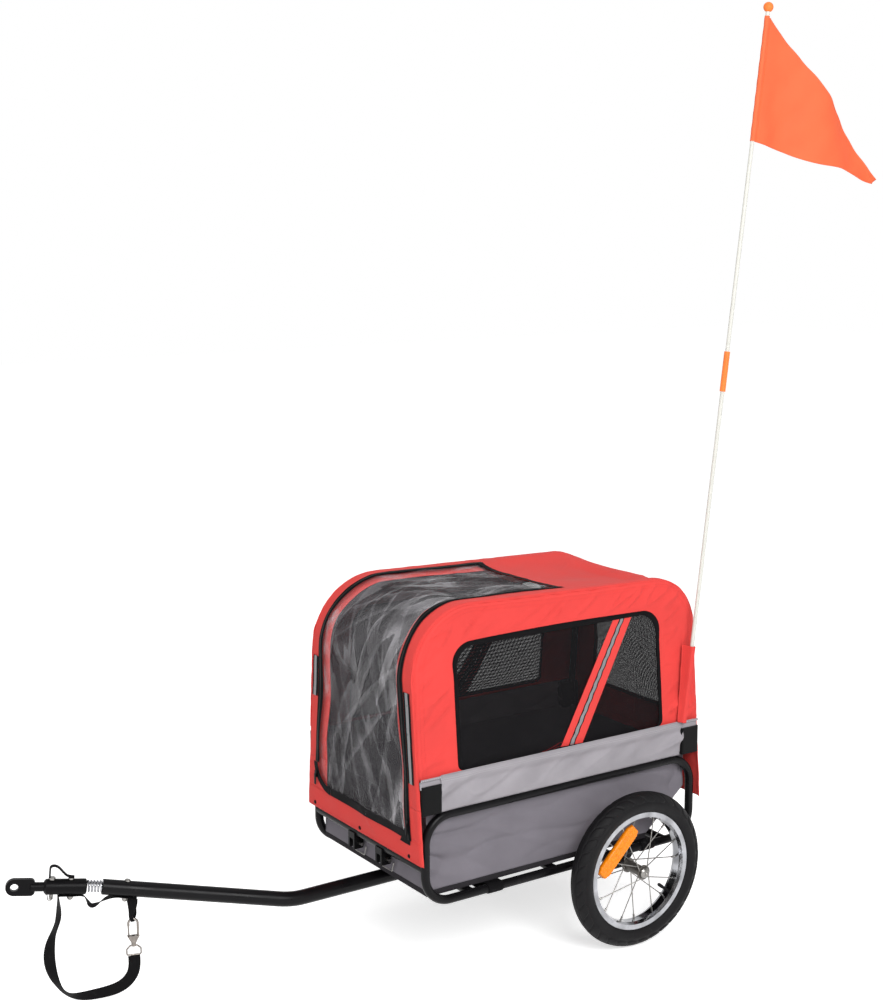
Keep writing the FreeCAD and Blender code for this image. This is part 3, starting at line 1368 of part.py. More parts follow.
def ferrule():
    low = Vector(0, 0, POLE_HALF_LENGTH - FERRULE_LENGTH / 2)
    high = Vector(0, 0, POLE_HALF_LENGTH + FERRULE_LENGTH / 2)
    ring = cylinder(FERRULE_DIA / 2, low, high).cut(cylinder(pole_r + RUN_GAP, low, high))
    return moved(ring, pole_at)


pole_length = 2 * POLE_HALF_LENGTH + SEAT_GAP
ball_r = BALL_DIA / 2


def pole_ball():
    """A ball pushed over the top of the pole."""
    ball = Part.makeSphere(ball_r, Vector(0, 0, pole_length))
    bore = cylinder(pole_r + RUN_GAP, Vector(0, 0, pole_length - BALL_DIA), Vector(0, 0, pole_length))
    return moved(ball.cut(bore), pole_at)


def flag_cloth():
    """A triangle of cloth that ripples from the pole to its tip in two long folds."""
    top = pole_length - ball_r - FLAG_TOP_GAP
    low = top - FLAG_HOIST
    start = pole_r + SEAT_GAP
    fold_length = (FLAG_FLY - start) / FLAG_FOLDS

    def bowed(y_shift):
        steps = []
        for fold in range(FLAG_FOLDS):
            sign = 1 if fold % 2 == 0 else -1
            end = start + fold_length * (fold + 1)
            middle = end - fold_length / 2
            steps.append((Vector(middle, sign * FLAG_WAVE + y_shift, 0), Vector(end, y_shift, 0)))
        return steps

    outward = chain(Vector(start, 0, 0), *bowed(0))
    inward = chain(Vector(start, FLAG_THICK, 0), *bowed(FLAG_THICK))
    ends = [
        Part.LineSegment(Vector(start, 0, 0), Vector(start, FLAG_THICK, 0)).toShape(),
        Part.LineSegment(Vector(FLAG_FLY, 0, 0), Vector(FLAG_FLY, FLAG_THICK, 0)).toShape(),
    ]
    edges = Part.sortEdges(outward.Edges + inward.Edges + ends)[0]
    sheet = Part.Face(Part.Wire(edges)).extrude(Z_AXIS * (FLAG_HOIST + FLAG_TIP_DROP))
    sheet.translate(Z_AXIS * (low - FLAG_TIP_DROP))
    reach = Y_AXIS * OVERRUN
    corners = [
        Vector(start - FLAG_THICK, -OVERRUN / 2, top),
        Vector(start - FLAG_THICK, -OVERRUN / 2, low),
        Vector(FLAG_FLY, -OVERRUN / 2, low - FLAG_TIP_DROP),
    ]
    triangle = Part.Face(Part.makePolygon(corners + corners[:1])).extrude(reach)
    return moved(sheet.common(triangle), pole_at)


save("flag_pocket", flag_pocket())
save("flag_pole_halves", pole_half(0), pole_half(POLE_HALF_LENGTH + SEAT_GAP))
save("pole_ferrule", ferrule())
save("pole_ball", pole_ball())
save("flag_cloth", flag_cloth())
print("pole foot", [round(value, 3) for value in pole_at.Base], "axis",
      [round(value, 5) for value in pole_at.Rotation.multVec(Z_AXIS)])
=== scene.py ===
import logging
import math
from dataclasses import dataclass, field
from enum import Enum
from typing import Sequence

import bmesh
import bpy
import numpy as np
from numpy.typing import NDArray
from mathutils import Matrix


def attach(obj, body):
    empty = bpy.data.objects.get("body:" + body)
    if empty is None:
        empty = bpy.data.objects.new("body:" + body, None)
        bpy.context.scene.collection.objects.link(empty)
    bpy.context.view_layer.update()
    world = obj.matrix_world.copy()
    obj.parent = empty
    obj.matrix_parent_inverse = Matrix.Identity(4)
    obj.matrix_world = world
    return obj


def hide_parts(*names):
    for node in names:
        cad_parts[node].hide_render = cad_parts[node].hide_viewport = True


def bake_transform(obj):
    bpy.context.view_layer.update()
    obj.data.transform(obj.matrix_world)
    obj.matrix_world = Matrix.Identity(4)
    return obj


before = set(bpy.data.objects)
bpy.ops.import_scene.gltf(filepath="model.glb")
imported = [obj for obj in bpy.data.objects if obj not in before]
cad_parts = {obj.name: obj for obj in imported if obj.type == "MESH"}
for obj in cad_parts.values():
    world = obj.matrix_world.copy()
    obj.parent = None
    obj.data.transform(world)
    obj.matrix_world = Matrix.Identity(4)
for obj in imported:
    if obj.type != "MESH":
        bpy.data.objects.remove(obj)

Array = NDArray[np.float64]
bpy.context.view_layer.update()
LOG = logging.getLogger("trailer")

# Main lines of the trailer in metres: +X rearwards, +Y right, +Z up, origin on the ground under the axle
HALF, FRONT_X = 0.222, -0.513
AXLE_Z, WHEEL_Y = 0.175, 0.282
HINGE_Z, LEAN = 0.413, math.radians(5.0)
# The cover's heights, its front and rear wall, and the bends between walls and roof
HEM_Z, BAND_Z, SPLIT_Z = 0.285, 0.335, 0.402
COVER_FRONT, COVER_REAR = -0.53185, 0.22385
FRONT_BEND, REAR_BEND = 0.14925, 0.10525
# The zips: distance from the cover's edge, cloth behind them, its lap under the strip, and the far corner's bend
ZIP_INSET, MARGIN, TUCK, ZIP_BEND = 0.044, 0.026, 0.014, 0.060
CROSS_ZIP_X = -0.120
# Distances of the layers outwards from the cover's face, and the usual cloth's thickness
FILM_LIFT, NET_LIFT, MARGIN_LIFT, SCREEN_LIFT = -0.001, -0.0022, -0.0068, -0.012
CLOTH = 0.0014
# Points inside the canopy and the tray, from which their cloth turns its faces
CABIN = np.array([-0.15, 0.0, 0.55])
TRAY_MIDDLE = CABIN - np.array([0.0, 0.0, 0.25])
# The upward direction, and the studio's white
UP, WHITE = np.array([0.0, 0.0, 1.0]), (1.0, 1.0, 1.0, 1.0)
# Points closer than the first are welded, edges shorter than the second are dissolved
WELD, SHORTEST = 2e-6, 1e-7


class Side(Enum):
    """The trailer's left side is the near one in the picture."""

    LEFT = -1
    RIGHT = 1

    @property
    def word(self) -> str:
        """The side's name as it stands in node names."""
        return "left" if self is Side.LEFT else "right"


class Surface(Enum):
    """The kind of fine structure a finish shows up close."""

    PLAIN = "plain"
    WEAVE = "weave"
    RIBBED = "ribbed"
    NET = "net"
    FILM = "film"
    TEETH = "teeth"


def linear(rgb: Sequence[float]) -> tuple[float, float, float, float]:
    """A colour's linear values with alpha 1, by the usual screen curve: a straight foot, then a power of 2.4.

    Args:
        rgb: red, green and blue from 0 to 255 as seen on a screen.

    Returns:
        The linear colour.
    """
    share = np.asarray(rgb, float) / 255.0
    low, high = share / 12.92, ((share + 0.055) / 1.055) ** 2.4
    red, green, blue = np.where(share <= 0.04045, low, high)
    return float(red), float(green), float(blue), 1.0


class Graph:
    """A material's node tree with a short way to add and join nodes."""

    def __init__(self, name: str) -> None:
        """Makes an empty material.

        Args:
            name: the material's name.
        """
        self.material = bpy.data.materials.new(name)
        self.material.use_nodes = True
        self.tree = self.material.node_tree
        self.tree.nodes.clear()

    def add(self, kind: str, sockets: dict[str, object], **settings: object) -> bpy.types.Node:
        """Adds one node.

        Args:
            kind: the node's type without its ShaderNode prefix.
            sockets: each input's name with a number, a colour, or an output to join to it.
            settings: the node's own properties.

        Returns:
            The node.
        """
        node = self.tree.nodes.new("ShaderNode" + kind)
        for key, value in settings.items():
            setattr(node, key, value)
        for key, value in sockets.items():
            socket = node.inputs[int(key)] if key.isdigit() else node.inputs[key]
            if isinstance(value, bpy.types.NodeSocket):
                self.tree.links.new(value, socket)
            else:
                socket.default_value = value
        return node

    def spread(self, value: bpy.types.NodeSocket, low: float, high: float,
               start: float = 0.3, end: float = 0.7) -> bpy.types.NodeSocket:
        """Maps a value from start..end to low..high.

        Args:
            value: the output that is mapped.
            low: the result at start.
            high: the result at end.
            start: the value that gives low.
            end: the value that gives high.

        Returns:
            The mapped output.
        """
        ends = {"From Min": start, "From Max": end, "To Min": low, "To Max": high}
        return self.add("MapRange", {"Value": value, **ends}).outputs["Result"]

    def join(self, first: bpy.types.NodeSocket, second: bpy.types.NodeSocket | float,
             operation: str = "ADD") -> bpy.types.NodeSocket:
        """Joins two values by one operation.

        Args:
            first: an output.
            second: an output or a number.
            operation: the Math node's operation.

        Returns:
            The result.
        """
        return self.add("Math", {"0": first, "1": second}, operation=operation).outputs[0]

    def blend(self, share: bpy.types.NodeSocket, first: object, second: object) -> bpy.types.NodeSocket:
        """Mixes two colours.

        Args:
            share: an output that says how much of the second is taken.
            first: a colour or an output.
            second: a colour or an output.

        Returns:
            The mixed colour.
        """
        return self.add("Mix", {"Factor": share, "6": first, "7": second}, data_type="RGBA").outputs[2]


# The length after which a wave texture of scale 1 repeats
WAVE_REPEAT = 0.31416
# The film's sets of painted sheen streaks beside its creases: their turn in radians, noise scale, fading width and
# strongest sheen
FILM_SHEENS = ((0.28, 12.0, 0.11, 0.46), (-0.34, 19.0, 0.09, 0.36), (0.80, 9.0, 0.07, 0.30))


@dataclass(frozen=True)
class Finish:
    """One finish: colour with mottling, gloss with variation, and a fine structure at its real size."""

    name: str
    slot: str
    rgb: tuple[float, float, float]
    roughness: float
    metallic: float = 0.0
    surface: Surface = Surface.PLAIN
    pitch: float = 0.0011
    mottle: float = 0.12
    mottle_size: float = 0.06
    grain: float = 0.15
    grain_size: float = 0.0025
    rough_swing: float = 0.08
    sheen: float = 0.0
    alpha: float = 1.0
    scuff: float = 0.0
    through: float = 0.0
    specular: float = 0.5

    def material(self) -> bpy.types.Material:
        """Gives this finish's material, made once.

        A broad noise mixes a darker and a paler tone and swings the roughness. A fine one, or the threads, give the
        bumps; woven, ribbed and toothed threads also darken the colour in their grooves as painted shade. A third one
        shows worn marks.

        Returns:
            The node material.
        """
        found = bpy.data.materials.get(self.name)
        if found is not None:
            return found
        graph = Graph(self.name)
        coords = graph.add("TexCoord", {})
        place, cloth = coords.outputs["Object"], coords.outputs["UV"]
        broad = graph.add("TexNoise", {"Vector": place, "Scale": 1.0 / self.mottle_size, "Detail": 4.0})
        fine = graph.add("TexNoise", {"Vector": place, "Scale": 1.0 / self.grain_size, "Detail": 3.0})
        base = linear(self.rgb)
        dark = tuple(c * (1.0 - self.mottle) for c in base[:3]) + (1.0,)
        pale = tuple(min(1.0, c * (1.0 + self.mottle)) for c in base[:3]) + (1.0,)
        colour = graph.blend(graph.spread(broad.outputs[0], 0.0, 1.0), dark, pale)
        height = graph.spread(fine.outputs[0], 0.0, 1.0)
        depth = self.grain_size * 0.2
        alpha: object = self.alpha
        if self.surface not in (Surface.PLAIN, Surface.FILM):
            height, tone, hole = self._threads(graph, cloth, fine.outputs[0])
            depth = self.pitch * 0.3
            # Painted shade: woven, ribbed and toothed finishes darken in the grooves between their threads
            colour = graph.blend(tone, colour, dark)
            if self.surface is Surface.NET:
                alpha = hole
        # The film's pale streaks and patches of opacity are painted sheen
        if self.surface is Surface.FILM:
            alpha = self._painted_sheen(graph)
        if self.scuff > 0.0:
            worn = graph.add("TexNoise", {"Vector": place, "Scale": 55.0, "Detail": 6.0, "Roughness": 0.7})
            marks = graph.spread(worn.outputs[0], 0.0, self.scuff, 0.62, 0.72)
            grey = tuple(c * 0.5 + 0.22 for c in base[:3]) + (1.0,)
            colour = graph.blend(marks, colour, grey)
        rough = graph.spread(broad.outputs[0], max(0.02, self.roughness - self.rough_swing),
                             min(1.0, self.roughness + self.rough_swing))
        normal = graph.add("Bump", {"Height": height, "Strength": self.grain, "Distance": depth})
        shader = graph.add("BsdfPrincipled", {
            "Base Color": colour, "Roughness": rough, "Metallic": self.metallic, "Normal": normal.outputs[0],
            "Specular IOR Level": self.specular, "Sheen Weight": self.sheen, "Alpha": alpha,
        })
        out = shader.outputs[0]
        if self.through > 0.0:
            glow = graph.add("BsdfTranslucent", {"Color": colour, "Normal": normal.outputs[0]})
            out = graph.add("MixShader", {"Fac": self.through, "1": out, "2": glow.outputs[0]}).outputs[0]
        graph.add("OutputMaterial", {"Surface": out})
        return graph.material

    def _painted_sheen(self, graph: Graph) -> bpy.types.NodeSocket:
        """Painted sheen: the clear film turns more opaque so that its pale colour shows as sheen, in broad patches
        and beside its creases, on one side sharply and fading off.

        Each set of sheen streaks is a stretched noise: opaque above its middle value, by a ramp that falls from
        there.

        Args:
            graph: the material's graph.

        Returns:
            The opacity.
        """
        cloth = graph.add("TexCoord", {}).outputs["UV"]
        broad_sheen = graph.add("TexNoise", {"Vector": cloth, "Scale": 7.0, "Detail": 1.0, "Distortion": 0.6})
        # Broad patches of painted sheen, which also gate where the streaks show
        total = graph.spread(broad_sheen.outputs[0], 0.0, 0.16, 0.45, 0.70)
        place = graph.spread(broad_sheen.outputs[0], 0.30, 1.0, 0.36, 0.58)
        for turn, scale, width, weight in FILM_SHEENS:
            drawn = graph.add("Mapping", {"Vector": cloth, "Rotation": (0.0, 0.0, turn), "Scale": (1.0, 7.0, 1.0)},
                              vector_type="TEXTURE")
            noise = graph.add("TexNoise", {"Vector": drawn.outputs[0], "Scale": scale, "Detail": 1.2,
                                           "Distortion": 0.12})
            fade = graph.spread(noise.outputs[0], weight, 0.0, 0.5, 0.5 + width)
            edge = graph.join(noise.outputs[0], 0.5, "GREATER_THAN")
            total = graph.join(total, graph.join(graph.join(fade, edge, "MULTIPLY"), place, "MULTIPLY"))
        return graph.spread(total, self.alpha * 0.30, self.alpha * 2.7, 0.0, 1.0)

    def _threads(self, graph: Graph, cloth: bpy.types.NodeSocket,
                 fine: bpy.types.NodeSocket) -> tuple[bpy.types.NodeSocket, ...]:
        """Sine bands over the cloth's own coordinates, one set along it and one across.

        Args:
            graph: the material's graph.
            cloth: the UV output, in metres.
            fine: a fine noise that breaks the threads up.

        Returns:
            Bump height, darkening share and opacity; the darkening is painted shade in the grooves, and random noise
            on the net.
        """
        scale = WAVE_REPEAT / self.pitch
        along = graph.add("TexWave", {"Vector": cloth, "Scale": scale}, bands_direction="X").outputs[1]
        across = graph.add("TexWave", {"Vector": cloth, "Scale": scale}, bands_direction="Y").outputs[1]
        # The second value darkens the low grooves: painted shade between ribs, teeth and threads
        if self.surface is Surface.RIBBED:
            height = graph.join(across, graph.join(along, 0.3, "MULTIPLY"))
            return height, graph.spread(height, 0.55, 0.0, 0.0, 0.9), height
        if self.surface is Surface.TEETH:
            return across, graph.spread(across, 0.8, 0.0, 0.2, 0.8), across
        if self.surface is Surface.NET:
            gap = graph.join(along, across, "MULTIPLY")
            hole = graph.spread(gap, 1.0, 1.0 - self.alpha, 0.30, 0.36)
            return gap, graph.spread(fine, 0.4, 0.0), hole
        woven = graph.join(graph.join(along, across, "MULTIPLY"), graph.join(fine, 0.6, "MULTIPLY"))
        return woven, graph.spread(woven, 0.35, 0.0, 0.1, 0.9), woven


RED = Finish("red_canopy_cloth", "red_cloth", (224, 70, 66), 0.68, surface=Surface.WEAVE, grain=0.5, sheen=0.03,
             mottle=0.06, mottle_size=0.12, through=0.08, specular=0.15)
GREY = Finish("grey_tray_cloth", "grey_cloth", (116, 112, 119), 0.8, surface=Surface.WEAVE, grain=0.55, mottle=0.10,
              mottle_size=0.09, specular=0.2)
SKIRT_GREY = Finish("grey_skirt_cloth", "grey_cloth", (152, 148, 153), 0.75, surface=Surface.WEAVE, grain=0.5,
                    mottle=0.10, mottle_size=0.07, specular=0.2)
NET = Finish("black_mesh_net", "black_net", (16, 15, 17), 0.8, surface=Surface.NET, pitch=0.0015, alpha=0.62,
             specular=0.10)
SCREEN = Finish("front_mesh_screen", "black_net", (22, 20, 23), 0.8, surface=Surface.NET, pitch=0.0013, alpha=0.30,
                specular=0.08)
TAPE = Finish("black_binding_tape", "black_webbing", (12, 11, 13), 0.7, surface=Surface.RIBBED, pitch=0.0016,
              grain=0.5, specular=0.09)
WEBBING = Finish("black_strap_webbing", "black_webbing", (12, 11, 13), 0.68, surface=Surface.RIBBED, pitch=0.0018,
                 grain=0.7, mottle=0.2, mottle_size=0.02, scuff=0.08, specular=0.09)
ZIP = Finish("black_zip_teeth", "black_webbing", (11, 11, 12), 0.5, surface=Surface.TEETH, pitch=0.0028, grain=0.9,
             specular=0.15)
SILVER = Finish("silver_reflective_tape", "grey_cloth", (128, 128, 131), 0.34, 0.15, Surface.WEAVE, 0.0016, 0.08,
                0.02, 0.25, specular=0.3)
FILM = Finish("clear_rain_film", "clear_film", (204, 201, 206), 0.12, surface=Surface.FILM, grain=0.3,
              grain_size=0.02, mottle=0.05, alpha=0.20, rough_swing=0.06, specular=0.8)
TUBE = Finish("black_painted_tube", "black_tube", (12, 11, 13), 0.3, grain=0.08, grain_size=0.0008, mottle=0.15,
              scuff=0.03, specular=0.13)
ARM = Finish("black_painted_arm", "grey_tube", (13, 12, 14), 0.32, grain=0.08, grain_size=0.0008, scuff=0.04,
             specular=0.13)
SLEEVE = Finish("black_coupler_paint", "grey_tube", (11, 10, 12), 0.34, grain=0.10, grain_size=0.001, scuff=0.05,
                specular=0.09)
PLASTIC = Finish("black_moulded_plastic", "black_plastic", (9, 9, 10), 0.42, grain=0.3, grain_size=0.0009,
                 specular=0.10)
STEEL = Finish("bright_zinc_steel", "bright_steel", (138, 136, 133), 0.28, 1.0, mottle=0.2, mottle_size=0.008,
               grain=0.12, grain_size=0.0012)
CHROME = Finish("chrome_plate", "chrome", (158, 159, 163), 0.10, 1.0, mottle=0.30, mottle_size=0.03, grain=0.05,
                grain_size=0.01, rough_swing=0.06)
NICKEL = Finish("nickel_plate", "chrome", (132, 126, 121), 0.22, 1.0, mottle=0.25, mottle_size=0.008, grain=0.1)
HUB = Finish("grey_hub_metal", "hub_grey", (92, 89, 85), 0.42, 0.55, grain=0.12, grain_size=0.0014, scuff=0.2)
RUBBER = Finish("tyre_rubber", "tyre", (15, 14, 16), 0.6, grain=0.4, grain_size=0.0012, mottle=0.2,
                mottle_size=0.03, scuff=0.04, specular=0.17)
AMBER = Finish("amber_reflector_lens", "amber", (240, 132, 0), 0.25, mottle=0.14, mottle_size=0.006, grain=0.35,
               grain_size=0.003, specular=0.3)
# Floor board: partly its own dark grey, and partly darkened further as painted shade inside the tray
FLOOR_BOARD = Finish("grey_floor_board", "floor_board", (44, 42, 45), 0.85, mottle=0.15, grain=0.4, specular=0.1)
POLE = Finish("white_glass_pole", "white_pole", (206, 205, 198), 0.4, mottle=0.03, mottle_size=0.02, grain=0.06,
              specular=0.3)
ORANGE = Finish("orange_flag_cloth", "orange", (252, 128, 84), 0.65, surface=Surface.WEAVE, grain=0.35, mottle=0.05,
                through=0.35, specular=0.2)
FERRULE = Finish("orange_ferrule_plastic", "orange", (238, 124, 58), 0.45, grain=0.1, mottle=0.06, specular=0.2)
THREAD_RED = Finish("red_stitch_thread", "red_cloth", (206, 46, 44), 0.6, pitch=0.0006, mottle=0.1)
THREAD_GREY = Finish("grey_stitch_thread", "grey_cloth", (186, 184, 188), 0.6, pitch=0.0006, mottle=0.1)

CAD_FINISHES: dict[Finish, tuple[str, ...]] = {
    TUBE: ("left_side_loop", "right_side_loop", "cross_tubes", "axle_beam", "left_hoop", "right_hoop"),
    ARM: ("tow_arm",),
    SLEEVE: ("coupler_sleeve", "coupler_eye"),
    PLASTIC: ("hinge_blocks", "front_receivers", "arm_clamps", "left_zip_slider", "right_zip_slider"),
    STEEL: ("hinge_bolts", "hub_bearings", "left_spokes", "right_spokes", "stub_axles", "left_release_button",
            "right_release_button", "lock_pins", "left_pin_bail", "right_pin_bail", "hitch_pin", "retaining_clip",
            "sleeve_bolt", "arm_bolt"),
    CHROME: ("left_rim", "right_rim"),
    NICKEL: ("snap_hook", "strap_ring", "hook_gate"),
    HUB: ("left_hub", "right_hub"),
    FLOOR_BOARD: ("floor_panel",),
    POLE: ("flag_pole_halves",),
    FERRULE: ("pole_ferrule", "pole_ball"),
}


def smooth(value: Array) -> Array:
    """The smooth step 3t^2 - 2t^3 of a value held between 0 and 1."""
    held = np.clip(value, 0.0, 1.0)
    return held * held * (3.0 - 2.0 * held)


def ripple(points: Array, length: float, seed: int, waves: int = 10) -> Array:
    """Seeded smooth noise near -1..1: a sum of sine waves in random directions, each about one length long.

    Args:
        points: places, with X, Y and Z last.
        length: the usual wave length in metres.
        seed: picks the directions and phases.
        waves: how many sines are summed.

    Returns:
        One value for each place.
    """
    rng = np.random.default_rng(seed)
    heading = rng.normal(size=(waves, 3))
    heading /= np.linalg.norm(heading, axis=1, keepdims=True)
    turns = heading * (2.0 * math.pi / (length * rng.uniform(0.6, 1.7, (waves, 1))))
    return np.sin(points @ turns.T + rng.uniform(0.0, 6.283, waves)).sum(axis=-1) / math.sqrt(waves / 2.0)


def creases(points: Array, length: float, seed: int) -> Array:
    """Sharp fold lines from 0 to 1: high where a ripple crosses zero, as (1 - |ripple|) to the third power.

    Args:
        points: places, with X, Y and Z last.
        length: the ripple's usual wave length in metres.
        seed: picks the ripple.

    Returns:
        One value for each place.
    """
    return np.clip(1.0 - np.abs(ripple(points, length, seed, 6)), 0.0, 1.0) ** 3


def along(points: Array) -> Array:
    """The running length at each point of a line."""
    return np.concatenate([[0.0], np.cumsum(np.linalg.norm(np.diff(points, axis=0), axis=1))])


def resample(points: Array, count: int) -> Array:
    """Evenly spaced points on a line, straight between the given ones.

    Args:
        points: the line's points.
        count: how many points are wanted.

    Returns:
        The new points.
    """
    run = along(points)
    stops = np.linspace(0.0, run[-1], count)
    return np.stack([np.interp(stops, run, points[:, k]) for k in range(points.shape[1])], axis=1)


def rounded(corners: Array, radii: Sequence[float]) -> Array:
    """A line with its inner corners turned into arcs that touch both legs, for flat outlines and profiles.

    Args:
        corners: the line's ends and sharp corners in a plane.
        radii: a radius for each inner corner.

    Returns:
        The line's points, close together on the arcs.
    """
    parts = [corners[:1]]
    for before, at, after, radius in zip(corners[:-2], corners[1:-1], corners[2:], radii):
        back = (before - at) / np.linalg.norm(before - at)
        on = (after - at) / np.linalg.norm(after - at)
        inside = math.acos(float(np.clip(back @ on, -1.0, 1.0)))
        centre = at + (back + on) / np.linalg.norm(back + on) * radius / math.sin(inside / 2.0)
        start, end = (at + leg * radius / math.tan(inside / 2.0) - centre for leg in (back, on))
        first = math.atan2(start[1], start[0])
        turn = (math.atan2(end[1], end[0]) - first + math.pi) % (2.0 * math.pi) - math.pi
        angle = first + turn * np.linspace(0.0, 1.0, 25)
        parts.append(centre + radius * np.stack([np.cos(angle), np.sin(angle)], axis=1))
    parts.append(corners[-1:])
    return np.concatenate(parts)


@dataclass
class Patch:
    """A grid of points, or a stack of such grids, with its cloth coordinates in metres and a finish number."""

    points: Array
    uv: Array | None = None
    finish: int = 0
    ring: bool = False

    def arrays(self) -> tuple[Array, NDArray[np.int64], Array]:
        """Gives flat vertices, the quads that join them, and each quad corner's cloth coordinates.

        Returns:
            Vertices, quads and coordinates.
        """
        grids = self.points.reshape((-1,) + self.points.shape[-3:])
        count, rows, cols = grids.shape[:3]
        index = np.arange(count * rows * cols).reshape(count, rows, cols)
        uv = self.uv
        if uv is None:
            step_u = np.linalg.norm(np.diff(grids[0], axis=0), axis=-1).mean() * np.arange(rows)
            step_v = np.linalg.norm(np.diff(grids[0], axis=1), axis=-1).mean() * np.arange(cols + 1)
            uv = np.stack(np.meshgrid(step_v, step_u), axis=-1)
        uv = np.broadcast_to(uv, (count,) + uv.shape[-3:])
        if self.ring:
            index = np.concatenate([index, index[:, :, :1]], axis=2)
        uv = uv[:, :, : index.shape[2]]
        corner = [(slice(None), a, b) for a, b in (
            (slice(None, -1), slice(None, -1)), (slice(1, None), slice(None, -1)),
            (slice(1, None), slice(1, None)), (slice(None, -1), slice(1, None)))]
        quads = np.stack([index[c] for c in corner], axis=-1).reshape(-1, 4)
        return grids.reshape(-1, 3), quads, np.stack([uv[c] for c in corner], axis=-2).reshape(-1, 4, 2)


def make_piece(name: str, patches: Sequence[Patch], finishes: Sequence[Finish], body: str | None,
               away: Array | None = None, thick: float = 0.0) -> bpy.types.Object:
    """Puts patches into one mesh that rides on a body, with its seams welded and its faces turned outwards.

    Args:
        name: the piece's name.
        patches: its surfaces.
        finishes: the finishes that the patches number.
        body: the body it moves with, or None to leave it on no body.
        away: a point behind an open sheet, so that its faces turn from it; None for a closed shape.
        thick: the cloth's thickness, laid inwards.

    Returns:
        The piece.
    """
    verts, quads, uvs, kinds, start = [], [], [], [], 0
    for patch in patches:
        points, faces, uv = patch.arrays()
        if away is not None:
            a, b, c = points[faces[:, 0]], points[faces[:, 1]], points[faces[:, 3]]
            if np.sum(np.cross(b - a, c - a) * (a - away)) < 0.0:
                faces, uv = faces[:, ::-1], uv[:, ::-1]
        verts.append(points)
        quads.append(faces + start)
        uvs.append(uv)
        kinds.append(np.full(len(faces), patch.finish))
        start += len(points)
    mesh = bpy.data.meshes.new(name)
    mesh.from_pydata(np.concatenate(verts).tolist(), [], np.concatenate(quads).tolist())
    mesh.uv_layers.new(name="cloth").data.foreach_set("uv", np.concatenate(uvs).ravel())
    for finish in finishes:
        mesh.materials.append(finish.material())
    mesh.polygons.foreach_set("material_index", np.concatenate(kinds))
    mesh.polygons.foreach_set("use_smooth", np.ones(len(mesh.polygons), bool))
    welded = bmesh.new()
    welded.from_mesh(mesh)
    bmesh.ops.remove_doubles(welded, verts=welded.verts, dist=WELD)
    bmesh.ops.dissolve_degenerate(welded, edges=welded.edges, dist=SHORTEST)
    if away is None:
        bmesh.ops.recalc_face_normals(welded, faces=welded.faces)
    welded.to_mesh(mesh)
    welded.free()
    piece = bpy.data.objects.new(name, mesh)
    bpy.context.scene.collection.objects.link(piece)
    if thick > 0.0:
        wall = piece.modifiers.new("cloth thickness", "SOLIDIFY")
        wall.thickness, wall.offset = thick, -1.0
    if body is not None:
        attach(piece, body)
    LOG.info("%s: %d faces on %s", name, len(mesh.polygons), body)
    return piece


def tangents(path: Array) -> Array:
    """Unit directions along a line."""
    step = np.gradient(path, axis=0)
    return step / np.linalg.norm(step, axis=1, keepdims=True)


def swept(path: Array, across: Array, outline: Array, finish: int = 0, widths: Array | float = 1.0) -> Patch:
    """A closed outline carried along a path: its first coordinate goes across, its second along the surface normal.

    Args:
        path: the line's points.
        across: the outline's first direction at each point, or one direction for all.
        outline: the outline's points in metres.
        finish: the patch's finish number.
        widths: a share of the outline's first coordinate at each point.

    Returns:
        The swept patch, with both ends closed.
    """
    ahead = tangents(path)
    side = np.broadcast_to(across, path.shape)
    side = side - ahead * np.sum(side * ahead, axis=1, keepdims=True)
    side = side / np.linalg.norm(side, axis=1, keepdims=True)
    up = np.cross(ahead, side)
    wide = np.broadcast_to(widths, len(path))[:, None, None]
    body = path[:, None] + outline[None, :, :1] * wide * side[:, None] + outline[None, :, 1:] * up[:, None]
    ends = [np.repeat(body[k:k + 1].mean(axis=1, keepdims=True), len(outline), axis=1) for k in (0, -1)]
    grid = np.concatenate([ends[0], body, ends[1]])
    run = along(path)
    run = np.concatenate([run[:1], run, run[-1:]])
    girth = along(np.concatenate([outline, outline[:1]]))
    return Patch(grid, np.stack(np.meshgrid(girth, run), axis=-1), finish, ring=True)


def strap_outline(width: float, thick: float, count: int = 16) -> Array:
    """A strap's section: an oval with flat faces, as powers of the cosine and sine.

    Args:
        width: the strap's width.
        thick: its thickness.
        count: how many points run round it.

    Returns:
        The outline's points.
    """
    angle = np.linspace(0.0, 2.0 * math.pi, count, endpoint=False) + math.pi / count
    wide = np.sign(np.cos(angle)) * np.abs(np.cos(angle)) ** 0.35 * width / 2.0
    return np.stack([wide, np.sign(np.sin(angle)) * np.abs(np.sin(angle)) ** 0.6 * thick / 2.0], axis=1)


def circle(radius: float, count: int = 12) -> Array:
    """A round section, by cosine and sine."""
    angle = np.linspace(0.0, 2.0 * math.pi, count, endpoint=False)
    return radius * np.stack([np.cos(angle), np.sin(angle)], axis=1)


def stitches(path: Array, outward: Array, finish: int, pitch: float = 0.0052, length: float = 0.0038,
             radius: float = 0.00045) -> Patch:
    """A row of sewn threads: short lens-shaped beads laid end to end along a line.

    Args:
        path: the seam's line.
        outward: the cloth's outward direction, one for all or one at each point.
        finish: the patch's finish number.
        pitch: distance from thread to thread.
        length: a thread's length.
        radius: a thread's radius.

    Returns:
        The stack of small closed grids.
    """
    count = max(2, int(along(path)[-1] / pitch))
    middle = resample(path, count)
    ahead = tangents(middle)
    out = np.concatenate([np.broadcast_to(outward, path.shape), along(path)[:, None]], axis=1)
    out = resample(out, count)[:, :3]
    side = np.cross(ahead, out)
    lens = np.array([0.0, 0.75, 1.0, 0.75, 0.0]) * radius
    turn = np.linspace(0.0, 2.0 * math.pi, 5, endpoint=False)
    run = np.linspace(-0.5, 0.5, 5) * length
    grid = (middle[:, None, None] + ahead[:, None, None] * run[None, :, None, None]
            + side[:, None, None] * (lens[:, None] * np.cos(turn))[None, :, :, None]
            + out[:, None, None] * (lens[:, None] * np.sin(turn))[None, :, :, None])
    return Patch(grid, None, finish, ring=True)


